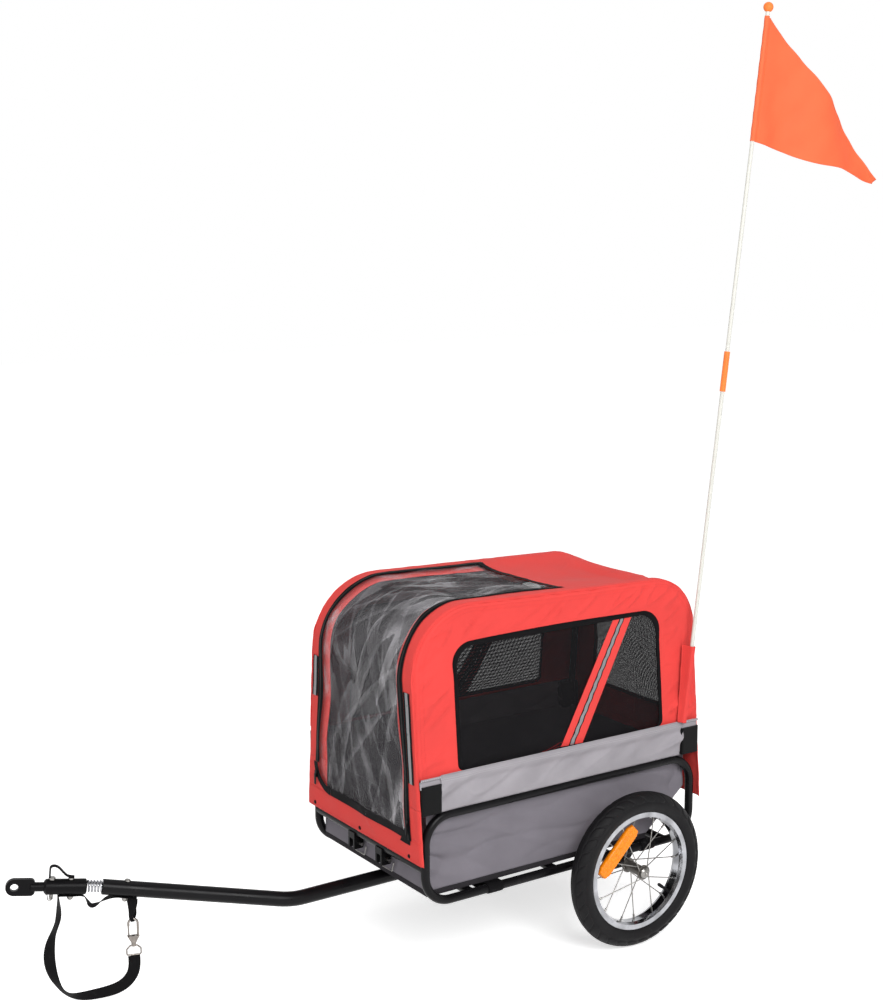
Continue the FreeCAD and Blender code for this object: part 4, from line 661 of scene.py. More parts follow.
def read_route(name: str, route: Array) -> Array:
    """Reads a smooth line off a NURBS spline whose control points are the route.

    Args:
        name: a name for the passing curve.
        route: the control points.

    Returns:
        The points along the spline.
    """
    curve = bpy.data.curves.new(name, "CURVE")
    curve.dimensions = "3D"
    curve.resolution_u = 24
    spline = curve.splines.new("NURBS")
    spline.points.add(len(route) - 1)
    spline.points.foreach_set("co", np.concatenate([route, np.ones((len(route), 1))], axis=1).ravel())
    spline.order_u = 3
    spline.use_endpoint_u = True
    holder = bpy.data.objects.new(name, curve)
    mesh = bpy.data.meshes.new_from_object(holder)
    points = np.empty(len(mesh.vertices) * 3)
    mesh.vertices.foreach_get("co", points)
    bpy.data.objects.remove(holder)
    bpy.data.meshes.remove(mesh)
    bpy.data.curves.remove(curve)
    return points.reshape(-1, 3)


@dataclass
class Studio:
    """The camera at the picture's place, a pale floor and soft lamps."""

    # The camera's place and turns in degrees, its focal length over the sensor's height, shift, sensor and far end
    eye: tuple[float, float, float] = (-2.3036, -3.0187, 1.6216)
    pitch: float = 9.913
    yaw: float = 34.90
    lens_share: float = 1.7020
    shift: tuple[float, float] = (-0.04776, 0.00103)
    sensor: float = 36.0
    far: float = 60.0
    # The point that the lamps face, and each lamp's name, place, side and watts
    aim: tuple[float, float, float] = (-0.25, 0.0, 0.5)
    lamps: tuple[tuple[str, tuple[float, float, float], float, float], ...] = (
        ("key", (-1.1, -3.4, 2.7), 2.0, 136.0),
        ("fill", (-3.6, 0.6, 2.6), 2.4, 22.0),
        ("top", (0.6, 0.4, 3.8), 2.6, 20.0))
    # The world's strength for other rays, and the heights and strengths between which the seen dome darkens
    surround: float = 0.5
    dome: tuple[float, float, float, float] = (0.35, 0.75, 1.0, 0.22)
    # The floor's half side, height, darker and paler grey, and the light that the seen floor adds
    floor_reach: float = 14.0
    floor_z: float = -0.0005
    floor_tones: tuple[float, float] = (0.9, 0.94)
    floor_glow: float = 0.56

    def build(self) -> None:
        """Sets the camera, lamps, world and floor."""
        bpy.context.scene.view_settings.view_transform = "Standard"
        self._camera()
        for name, place, size, power in self.lamps:
            self._lamp(name, place, size, power)
        self._world()
        self._floor()

    def _camera(self) -> None:
        """Stands the camera where the picture was taken."""
        data = bpy.data.cameras.new("camera")
        data.sensor_fit, data.sensor_height = "VERTICAL", self.sensor
        data.lens = self.lens_share * self.sensor
        data.shift_x, data.shift_y = self.shift
        data.clip_end = self.far
        camera = bpy.data.objects.new("camera", data)
        camera.location = self.eye
        camera.rotation_euler = (math.radians(90.0 - self.pitch), 0.0, math.radians(-self.yaw))
        bpy.context.scene.collection.objects.link(camera)
        bpy.context.scene.camera = camera

    def _lamp(self, name: str, place: tuple[float, float, float], size: float, power: float) -> None:
        """Adds one large square lamp that faces the middle of the trailer.

        Args:
            name: the lamp's name.
            place: where it stands.
            size: its side.
            power: its strength in watts.
        """
        data = bpy.data.lights.new(name, "AREA")
        data.energy, data.size = power, size
        lamp = bpy.data.objects.new(name, data)
        lamp.location = place
        aim = np.array(self.aim) - np.array(place)
        flat = math.hypot(aim[0], aim[1])
        lamp.rotation_euler = (math.atan2(flat, -aim[2]), 0.0, math.atan2(aim[1], aim[0]) - math.pi / 2.0)
        bpy.context.scene.collection.objects.link(lamp)

    @staticmethod
    def _seen(tree: bpy.types.NodeTree) -> bpy.types.NodeSocket:
        """Adds a switch that is 1 for camera, mirror and see-through rays.

        Args:
            tree: the tree it is added to.

        Returns:
            The switch's output.
        """
        rays = tree.nodes.new("ShaderNodeLightPath")
        total = rays.outputs["Is Camera Ray"]
        for key in ("Is Glossy Ray", "Is Transmission Ray"):
            node = tree.nodes.new("ShaderNodeMath")
            node.operation = "MAXIMUM"
            tree.links.new(total, node.inputs[0])
            tree.links.new(rays.outputs[key], node.inputs[1])
            total = node.outputs[0]
        return total

    def _world(self) -> None:
        """Makes a white surround under a grey dome for what sees it, and a soft grey light for the rest."""
        world = bpy.data.worlds.new("studio")
        world.use_nodes = True
        bpy.context.scene.world = world
        tree = world.node_tree
        back = tree.nodes["Background"]
        back.inputs["Color"].default_value = WHITE
        level = tree.nodes.new("ShaderNodeMapRange")
        level.inputs["To Min"].default_value = self.surround
        ways = tree.nodes.new("ShaderNodeTexCoord")
        parts = tree.nodes.new("ShaderNodeSeparateXYZ")
        dome = tree.nodes.new("ShaderNodeMapRange")
        for key, value in zip(("From Min", "From Max", "To Min", "To Max"), self.dome):
            dome.inputs[key].default_value = value
        tree.links.new(ways.outputs["Generated"], parts.inputs[0])
        tree.links.new(parts.outputs["Z"], dome.inputs["Value"])
        tree.links.new(dome.outputs[0], level.inputs["To Max"])
        tree.links.new(self._seen(tree), level.inputs["Value"])
        tree.links.new(level.outputs[0], back.inputs["Strength"])

    def _floor(self) -> None:
        """Lays a wide pale floor that shows a faint shadow."""
        reach = np.linspace(-self.floor_reach, self.floor_reach, 9)
        x, y = np.meshgrid(reach, reach)
        mesh = bpy.data.meshes.new("floor")
        verts, quads, _ = Patch(np.stack([x, y, np.full_like(x, self.floor_z)], axis=-1)).arrays()
        mesh.from_pydata(verts.tolist(), [], quads[:, ::-1].tolist())
        graph = Graph("pale_floor")
        spot = graph.add("TexNoise", {"Vector": graph.add("TexCoord", {}).outputs["Object"], "Scale": 2.0})
        dark, pale = ((tone, tone, tone, 1.0) for tone in self.floor_tones)
        tone = graph.blend(spot.outputs[0], dark, pale)
        matt = graph.add("BsdfDiffuse", {"Color": tone})
        glow = graph.add("Emission", {"Color": WHITE, "Strength": self.floor_glow})
        both = graph.add("AddShader", {"0": matt.outputs[0], "1": glow.outputs[0]})
        mixed = graph.add("MixShader", {"Fac": self._seen(graph.tree), "1": matt.outputs[0], "2": both.outputs[0]})
        graph.add("OutputMaterial", {"Surface": mixed.outputs[0]})
        mesh.materials.append(graph.material)
        floor = bpy.data.objects.new("floor", mesh)
        bpy.context.scene.collection.objects.link(floor)


@dataclass
class Hitch:
    """The spring, the pin's lanyard, the bolted webbing run with its loop, and the hanging safety strap."""

    # Level directions across and along the tow arm, and the spring's middle and line
    side: tuple[float, float, float] = (-0.31068, -0.95052, 0.0)
    ahead: tuple[float, float, float] = (-0.95052, 0.31068, 0.0)
    pivot: tuple[float, float, float] = (-1.083286, 0.137604, 0.249319)
    spring_axis: tuple[float, float, float] = (-0.93983, 0.30718, 0.14954)
    # Control points from the ring to the sleeve, and the strap's turn in degrees at shares of its length
    strap_route: tuple[tuple[float, float, float], ...] = (
        (-1.01370, 0.11486, 0.08908), (-1.01190, 0.11427, 0.06118), (-1.02632, 0.11899, 0.03453),
        (-1.04976, 0.12665, 0.02050), (-1.08583, 0.13843, 0.01500), (-1.12189, 0.15022, 0.01350),
        (-1.14894, 0.15906, 0.02397), (-1.16516, 0.16437, 0.05180), (-1.17418, 0.16731, 0.08553),
        (-1.17508, 0.16761, 0.11931), (-1.16697, 0.16496, 0.15231), (-1.15525, 0.16112, 0.18353),
        (-1.15164, 0.15995, 0.21358), (-1.15308, 0.16042, 0.23847))
    strap_turns: tuple[tuple[float, float], ...] = (
        (0.0, 90.0), (0.22, 90.0), (0.36, 74.0), (0.48, 22.0), (0.57, 52.0), (0.66, 74.0), (0.74, 44.0), (0.82, 6.0),
        (0.90, 26.0), (1.0, 0.0))
    # Control points of the bolted run, and of the pin's lanyard
    run_route: tuple[tuple[float, float, float], ...] = (
        (-1.15308, 0.16042, 0.23977), (-1.12800, 0.15222, 0.23690), (-1.10700, 0.14535, 0.23450),
        (-1.09950, 0.14290, 0.22400), (-1.09250, 0.14060, 0.20600), (-1.07900, 0.13620, 0.21150),
        (-1.06300, 0.13100, 0.22150), (-1.04555, 0.12530, 0.22449), (-1.02900, 0.11986, 0.22050),
        (-1.01370, 0.11486, 0.21733))
    lanyard_route: tuple[tuple[float, float, float], ...] = (
        (-1.16677, 0.16489, 0.27917), (-1.16600, 0.16462, 0.29100), (-1.16434, 0.16410, 0.30303),
        (-1.15111, 0.15977, 0.30155), (-1.14000, 0.15614, 0.28500), (-1.13219, 0.15359, 0.27604),
        (-1.12085, 0.14988, 0.27476))
    # Widths and thickness of the webbing, where the run's slack hangs, and where the loop hangs and how deep
    strap_width: float = 0.025
    run_width: float = 0.022
    webbing: float = 0.002
    bight_at: float = 0.078
    loop_top: tuple[float, float, float] = (-1.0137, 0.11486, 0.2150)
    loop_drop: float = 0.0510
    # The spring's turns, distance from turn to turn, radii of turn and wire, and half its bending length
    coils: int = 8
    coil_pitch: float = 0.0062
    coil_radius: float = 0.0108
    wire: float = 0.002
    coil_ends: float = 0.022

    def build(self) -> None:
        """Makes the hitch's soft pieces and its spring."""
        self._safety_strap()
        self._run()
        self._lanyard()
        self._spring()

    def _safety_strap(self) -> None:
        """A webbing strap along its route, turned a quarter turn below the ring and once more on its way up.

        Its section is carried along a spline, and its turn is a running mean of the given ones.
        """
        route = np.array(self.strap_route)
        path = resample(read_route("safety_strap_line", route), 150)
        run = along(path)
        ahead = tangents(path)
        turn = np.radians(np.interp(run / run[-1], *np.array(self.strap_turns).T))
        span = 13
        turn = np.convolve(np.pad(turn, span // 2, mode="edge"), np.full(span, 1.0 / span), mode="valid")
        side = np.broadcast_to(np.array(self.side), path.shape)
        other = np.cross(ahead, side)
        across = side * np.cos(turn)[:, None] + other * np.sin(turn)[:, None]
        patch = swept(path, across, strap_outline(self.strap_width, self.webbing))
        sewn, seam = slice(8, -4), 0.0095
        edge = [stitches(path[sewn] + across[sewn] * offset, np.cross(ahead, across)[sewn], 1, 0.006, 0.004, 0.0004)
                for offset in (-seam, seam)]
        piece = make_piece("safety_strap_webbing", [patch], [WEBBING], None)
        thread = make_piece("safety_strap_stitching", edge, [WEBBING, WEBBING], None)
        for each in (piece, thread):
            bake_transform(each)
        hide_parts("safety_strap")

    def _run(self) -> None:
        """The bolted run with its slack bight, and the loop that hangs from its back end.

        The run tips on edge and narrows by bell curves about the bight. The loop hangs as a power of a sine, narrow
        at its foot.
        """
        path = resample(read_route("strap_run_line", np.array(self.run_route)), 70)
        ahead, side = np.array(self.ahead), np.array(self.side)
        outline = strap_outline(self.run_width, self.webbing)
        from_bight = along(path) - self.bight_at
        tilt = 1.25 * np.exp(-(from_bight / 0.020) ** 2)
        band = swept(path, side * np.cos(tilt)[:, None] + UP * np.sin(tilt)[:, None], outline, 0,
                     1.0 - 0.45 * np.exp(-(from_bight / 0.03) ** 2))
        top = np.array(self.loop_top)
        turn = np.linspace(0.0, 1.0, 60)
        drop = self.loop_drop * np.sin(math.pi * turn) ** 0.55
        swing = 0.0085 * np.cos(math.pi * turn)
        loop = top + side * swing[:, None] - UP * drop[:, None]
        low = smooth(drop / self.loop_drop)
        loop += ahead * ((0.0052 * low * (1.0 - low ** 8) + 0.001) * np.sin(turn * 2.0 * math.pi))[:, None]
        twist = 0.6 * np.sin(turn * math.pi * 2.0)
        across = ahead * np.cos(twist)[:, None] + side * np.sin(twist)[:, None]
        bight = swept(loop, across, outline, 0, 1.0 - 0.66 * low)
        run = make_piece("strap_run_webbing", [band], [WEBBING], None)
        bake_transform(run)
        hang = make_piece("strap_loop_webbing", [bight], [WEBBING], None)
        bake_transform(hang)
        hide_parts("strap_run")
        LOG.info("%s hangs under %s", hang.name, run.name)

    def _lanyard(self) -> None:
        """The strip that ties the hitch pin to the sleeve: a strap's section carried along a spline."""
        path = resample(read_route("lanyard_line", np.array(self.lanyard_route)), 48)
        piece = make_piece("pin_lanyard_strip", [swept(path, np.array(self.side), strap_outline(0.010, 0.0036))],
                           [WEBBING], "coupler")
        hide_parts("pin_lanyard")

    def _spring(self) -> None:
        """An open coil: a circle of wire carried along a helix about the hitch's line."""
        axis, side, middle = np.array(self.spring_axis), np.array(self.side), np.array(self.pivot)
        up = np.cross(axis, side)
        turn = np.linspace(0.0, 2.0 * self.coils * math.pi, self.coils * 28 + 1)
        run = (turn / turn[-1] - 0.5) * self.coils * self.coil_pitch
        path = (middle + axis * run[:, None]
                + self.coil_radius * (side * np.cos(turn)[:, None] + up * np.sin(turn)[:, None]))
        piece = make_piece("hitch_spring_coil", [swept(path, axis, circle(self.wire, 10))], [CHROME], None)
        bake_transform(piece)
        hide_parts("hitch_spring")


@dataclass
class Wheel:
    """One wheel's tyre with its tread and valve, and the ribbed reflector."""

    side: Side
    # Distance from the axle to the section's middle, the section's radius, groove depth, and the tread's repeats
    ring: float = 0.1505
    bulge: float = 0.0245
    tread: float = 0.0017
    pitches: int = 34
    # Radius and half width of the tyre's foot in the rim
    bead: float = 0.1335
    bead_half: float = 0.0160
    # The valve's angle in degrees, and its radii at distances from the axle
    valve_at: float = -38.0
    valve_stations: tuple[float, ...] = (0.0840, 0.0862, 0.0866, 0.0985, 0.0990, 0.1178)
    valve_radii: tuple[float, ...] = (0.0026, 0.0028, 0.0040, 0.0040, 0.0033, 0.0035)
    # The reflector's angles in degrees, distance from the axle, half sizes, its back's distance out, and its height
    lens_at: float = 137.0
    lens_turn: float = 2.5
    lens_ring: float = 0.082
    lens_half: tuple[float, float] = (0.066, 0.0168)
    lens_back: float = 0.0066
    lens_rise: float = 0.0098

    def build(self) -> None:
        """Makes the tyre and the reflector."""
        self._tyre()
        self._reflector()

    def _place(self, local: Array) -> Array:
        """Moves a left wheel's local points to this wheel: the right one is the left turned half round."""
        turn = np.array([1.0, 1.0, 1.0]) if self.side is Side.LEFT else np.array([-1.0, -1.0, 1.0])
        return local * turn + np.array([0.0, self.side.value * WHEEL_Y, AXLE_Z])

    def _section(self, angle: Array, up: Array) -> Array:
        """The section's radius: round, less slanting shoulder cuts and a zigzag groove, with two thin side ribs.

        Args:
            angle: the turn about the axle.
            up: the turn about the section's middle, 0 at the tread's middle line.

        Returns:
            The radius.
        """
        beat = angle * self.pitches / (2.0 * math.pi)
        degrees = np.degrees(np.abs(up))
        part = np.mod(beat + 0.012 * degrees, 1.0)
        block = smooth(part / 0.08) * smooth((0.90 - part) / 0.08)
        tongue = 60.0 + 13.0 * np.sin(math.pi * part) ** 0.8
        cut = 1.0 - block * smooth((tongue - degrees) / 4.0)
        shoulder = smooth((degrees - 24.0) / 3.0) * cut
        swing = np.abs(2.0 * np.mod(beat + 0.25 * np.sign(up), 1.0) - 1.0)
        zigzag = np.exp(-((degrees - 21.0 + 7.0 * swing) / 2.2) ** 2)
        rib = 0.0004 * (np.exp(-((degrees - 96.0) / 2.0) ** 2) + np.exp(-((degrees - 120.0) / 2.5) ** 2))
        groove = np.maximum(shoulder * smooth((86.0 - degrees) / 14.0), zigzag)
        return self.bulge - self.tread * groove + rib

    def _tyre(self) -> None:
        """The section turned about the axle and closed over the rim, with the valve."""
        turn = np.linspace(0.0, 2.0 * math.pi, 704, endpoint=False)
        lift = np.radians(np.concatenate([
            np.linspace(-133.0, -84.0, 8), np.linspace(-78.0, 78.0, 53), np.linspace(84.0, 133.0, 8)]))
        angle, up = np.meshgrid(turn, lift, indexing="ij")
        radius = self._section(angle, up)
        reach = self.ring + radius * np.cos(up)
        outer = np.stack([reach * np.cos(angle), radius * np.sin(up), reach * np.sin(angle)], axis=-1)
        foot = angle[:, :3]
        across = np.broadcast_to(self.bead_half * np.array([1.0, 0.0, -1.0]), foot.shape)
        inner = np.stack([self.bead * np.cos(foot), across, self.bead * np.sin(foot)], axis=-1)
        grid = np.concatenate([outer, inner], axis=1)
        grid = np.concatenate([grid, grid[:, :1]], axis=1).transpose(1, 0, 2)
        tyre = Patch(self._place(grid), None, 0, ring=True)
        piece = make_piece(self.side.word + "_tyre_tread", [tyre, self._valve()], [RUBBER], self.side.word + "_wheel")
        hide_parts(self.side.word + "_tyre")

    def _valve(self) -> Patch:
        """The valve: circles of changing radius along a spoke line, closed at its tip.

        Returns:
            The patch.
        """
        heading = np.array([math.cos(math.radians(self.valve_at)), 0.0, math.sin(math.radians(self.valve_at))])
        stations, radii = (np.array(row)[:, None, None] for row in (self.valve_stations, self.valve_radii))
        axle = np.array([0.0, 1.0, 0.0])
        sideways = np.cross(heading, axle)
        spin = np.linspace(0.0, 2.0 * math.pi, 18, endpoint=False)[None, :, None]
        stem = heading * stations + radii * (sideways * np.cos(spin) + axle * np.sin(spin))
        stem = np.concatenate([np.repeat(stem[:1].mean(axis=1, keepdims=True), 18, axis=1), stem])
        return Patch(self._place(stem), None, 0, ring=True)

    def _reflector(self) -> None:
        """A cut-cornered lens: a low dome over an eight-sided plate, ribbed at its ends, with a round boss."""
        across, length = np.meshgrid(np.linspace(-1.0, 1.0, 25), np.linspace(-1.0, 1.0, 121))
        narrow = 1.0 - 0.42 * np.clip((np.abs(length) - 0.78) / 0.22, 0.0, 1.0)
        flat = length * self.lens_half[0]
        wide = across * self.lens_half[1] * narrow
        edge = smooth((1.0 - np.abs(across)) / 0.14) * smooth((1.0 - np.abs(length)) / 0.04)
        ribs = 0.0006 * np.cos(length * 62.0) * smooth((np.abs(length) - 0.34) / 0.05)
        boss = 0.0022 * smooth((0.0105 - np.hypot(flat, wide)) / 0.002)
        top = edge * (self.lens_rise + ribs + boss)
        turn, place = math.radians(90.0 - self.lens_at + self.lens_turn), math.radians(self.lens_at)
        heading = np.array([math.cos(turn), 0.0, -math.sin(turn)])
        upward = np.array([math.sin(turn), 0.0, math.cos(turn)])
        middle = np.array([math.cos(place), 0.0, math.sin(place)]) * self.lens_ring
        face = middle + heading * flat[..., None] + upward * wide[..., None]
        outward = np.array([0.0, -1.0, 0.0])
        front = face + outward * (self.lens_back + top)[..., None]
        back = face + outward * self.lens_back
        grids = [Patch(self._place(grid), None, 0) for grid in (front, back)]
        piece = make_piece(self.side.word + "_reflector_lens", grids, [AMBER], self.side.word + "_wheel")
        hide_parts(self.side.word + "_reflector")


@dataclass
class SidePanel:
    """One leaning side of the canopy: red cloth round a mesh window with black binding and a diagonal band."""

    side: Side
    # Points round each outline, and the cloth's distance from the hoop's plane
    count: int = 420
    offset: float = 0.0098
    # The panel's front and rear edge, its lower edge along the lean over the hinge, and its top at both ends
    reach: tuple[float, float] = (-0.5331, 0.2251)
    low: float = 0.047
    tops: tuple[float, float] = (0.393 + 0.0108 + 0.0006, 0.371 + 0.0108 - 0.0006)
    # The window's front and rear edge, and its lower and upper one
    window: tuple[float, float] = (-0.426, 0.110)
    window_heights: tuple[float, float] = (0.056, 0.314)
    # Both outlines, and at each point the distance and direction between them and the binding's width
    edge: Array = field(init=False)
    hole: Array = field(init=False)
    gap: Array = field(init=False)
    outwards: Array = field(init=False)
    tape: Array = field(init=False)

    def __post_init__(self) -> None:
        """Works out the panel's and the window's outlines in the leaning plane."""
        low, high = self.window_heights
        self.edge = self._outline(-0.154, self.reach, self.low, self.tops, (0.012, 0.1505, 0.1065, 0.012))
        self.hole = self._outline(-0.158, self.window, low, (high, high), (0.015, 0.045, 0.045, 0.015))
        self.gap = np.linalg.norm(self.edge - self.hole, axis=1)
        self.outwards = (self.edge - self.hole) / self.gap[:, None]
        self.tape = 0.0085 + 0.0035 * smooth((self.hole[:, 1] - 0.24) / 0.05)

    def _outline(self, start: float, reach: tuple[float, float], low: float, tops: tuple[float, float],
                 radii: Sequence[float]) -> Array:
        """A four-sided outline with rounded corners, from the middle of its foot forwards and round.

        Args:
            start: where on its foot it starts.
            reach: its front and rear edge.
            low: its lower edge.
            tops: its upper edge at the front and the rear.
            radii: the corners' radii.

        Returns:
            Evenly spaced points.
        """
        front, rear = reach
        corners = np.array([[start, low], [front, low], [front, tops[0]], [rear, tops[1]], [rear, low], [start, low]])
        return resample(rounded(corners, radii), self.count)

    def lean(self, flat: Array, off: Array | float) -> Array:
        """Turns points of the leaning plane into places.

        Args:
            flat: X and height along the lean.
            off: distance outwards from the hoop's plane.

        Returns:
            The places.
        """
        out = np.broadcast_to(off, flat.shape[:-1])
        y = HALF + out * math.cos(LEAN) - flat[..., 1] * math.sin(LEAN)
        z = HINGE_Z + flat[..., 1] * math.cos(LEAN) + out * math.sin(LEAN)
        return np.stack([flat[..., 0], self.side.value * y, z], axis=-1)

    @property
    def outward(self) -> Array:
        """The plane's outward direction."""
        return np.array([0.0, self.side.value * math.cos(LEAN), math.sin(LEAN)])

    def build(self) -> None:
        """Makes the panel, net, binding, band and seams."""
        panel = self._panel()
        net = self._net()
        trim = self._trim()
        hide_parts(self.side.word + "_side_panel")
        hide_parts(self.side.word + "_window_net")

    def relief(self, flat: Array, to_edge: Array) -> Array:
        """How far the cloth stands off its plane: it curls in at its edge, puckers at seams and folds outwards only.

        The folds are sharp slanting ripples, calm at the window's binding and at the panel's foot.

        Args:
            flat: X and height along the lean.
            to_edge: distance from the panel's edge.

        Returns:
            The distance outwards.
        """
        x, up = flat[..., 0], flat[..., 1]
        here = np.stack([x, np.zeros_like(x), up], axis=-1)
        curl = -0.0065 * (1.0 - smooth(to_edge / 0.012)) ** 1.5
        pucker = 0.0006 * ripple(here, 0.03, 5) * np.exp(-to_edge / 0.03)
        swell = 0.0020 * ripple(here, 0.15, 8 + self.side.value) * smooth(to_edge / 0.02)
        slant = here @ np.array([[1.0, 0.0, 0.0], [0.0, 1.0, 0.0], [-1.4, 0.0, 0.5]])
        fold = 0.0068 * creases(slant, 0.075, 21 + self.side.value) * smooth(to_edge / 0.03)
        beside = np.maximum(np.maximum(self.window[0] - x, x - self.window[1]), up - self.window_heights[1])
        loose = (swell + fold) * smooth((beside - 0.006) / 0.03) * smooth((up - 0.054) / 0.03)
        return curl + pucker + 0.5 * (loose + np.sqrt(loose ** 2 + 1e-6)) + 0.0002

    def _panel(self) -> bpy.types.Object:
        """Cloth between the window's outline and the panel's edge: each line runs from one to the other.

        Returns:
            The piece.
        """
        share = np.concatenate([np.linspace(0.0, 0.8, 17), np.linspace(0.82, 1.0, 14)])[:, None, None]
        flat = self.hole[None] * (1.0 - share) + self.edge[None] * share
        to_edge = (1.0 - share[..., 0]) * self.gap[None]
        points = self.lean(flat, self.offset + self.relief(flat, to_edge))
        name = self.side.word + "_panel_cloth"
        return make_piece(name, [Patch(points, flat)], [RED], self.side.word + "_side", CABIN, CLOTH)

    def _net(self) -> bpy.types.Object:
        """Mesh stretched behind the window: the outline drawn in to its middle line, slightly bowed.

        Returns:
            The piece.
        """
        share = np.linspace(0.0, 1.0, 24)[:, None, None]
        centre = np.stack([np.clip(self.hole[:, 0], -0.30, 0.0), np.full(self.count, 0.185)], axis=1)
        wide = centre + (self.hole - centre) * 1.03
        flat = centre[None] * (1.0 - share) + wide[None] * share
        here = np.stack([flat[..., 0], np.zeros_like(flat[..., 0]), flat[..., 1]], axis=-1)
        bow = (0.0003 * ripple(here, 0.2, 3) - 0.002) * smooth((1.0 - share[..., 0]) / 0.3)
        name = self.side.word + "_window_mesh"
        points = self.lean(flat, 0.0074 + bow)
        return make_piece(name, [Patch(points, flat)], [NET], self.side.word + "_side", CABIN)

    def _trim(self) -> bpy.types.Object:
        """Black binding round the window, rows of stitches, and the diagonal band with its silver stripe.

        Returns:
            The piece.
        """
        patches = [self._binding()] + self._seams() + self._band()
        name = self.side.word + "_window_trim"
        return make_piece(name, patches, [TAPE, RED, SILVER, THREAD_RED], self.side.word + "_side", CABIN)

    def _binding(self) -> Patch:
        """The binding: a low half round over the window's edge.

        Returns:
            The patch.
        """
        spread = np.linspace(-0.25, 1.0, 9)[:, None]
        over = spread * self.tape[None]
        flat = self.hole[None] + self.outwards[None] * over[..., None]
        round_off = 0.0024 * np.sqrt(np.clip(1.0 - ((spread - 0.375) / 0.625) ** 2, 0.0, 1.0))
        uv = np.stack(np.meshgrid(along(self.hole), np.linspace(0.0, 0.02, 9)), axis=-1)
        cloth = self.offset + self.relief(flat, self.gap[None] - over)
        return Patch(self.lean(flat, cloth - 0.0004 + round_off), uv, 0)

    def _seams(self) -> list[Patch]:
        """Two rows of stitches along the panel's edge and one on the binding.

        Returns:
            The patches.
        """
        rows = []
        for depth in (0.013, 0.021):
            line = self.edge - self.outwards * depth
            to_edge = np.full(self.count, depth)
            rows.append(stitches(self.lean(line, self.offset + self.relief(line, to_edge) + 0.0003), self.outward, 3))
        line = self.hole + self.outwards * (self.tape[:, None] - 0.002)
        held = self.relief(line, self.gap - self.tape)
        rows.append(stitches(self.lean(line, self.offset + held + 0.0014), self.outward, 0))
        return rows

    def _band(self) -> list[Patch]:
        """The diagonal band over the net: red, black, silver, black and red strips, the inner ones a little wavy.

        Returns:
            The patches.
        """
        patches = []
        low = np.array([[-0.171, 0.052], [-0.111, 0.052]])
        top = np.array([[-0.005, 0.320], [0.047, 0.320]])
        climb = np.linspace(0.0, 1.0, 48)[:, None, None]
        edges = [0.0, 0.35, 0.40, 0.56, 0.61, 1.0]
        for first, last, finish in zip(edges[:-1], edges[1:], (1, 0, 2, 0, 1)):
            over = np.linspace(first, last, 6)[None, :, None]
            start, end = (row[0] * (1.0 - over) + row[1] * over for row in (low, top))
            flat = start * (1.0 - climb) + end * climb
            if finish != 1:
                flat[..., 0] += 0.0011 * np.sin(climb[..., 0] * 75.0)
            patches.append(Patch(self.lean(flat, 0.0089 + 0.0004 * (finish != 1)), flat, finish))
        return patches


def inset(side: Side, depth: float) -> tuple[float, float]:
    """A line at a depth inwards from one edge of the cover, in the terms of Cover.patch."""
    return side.value, -side.value * depth


# The cover's middle line in the same terms
MIDDLE = (0.0, 0.0)


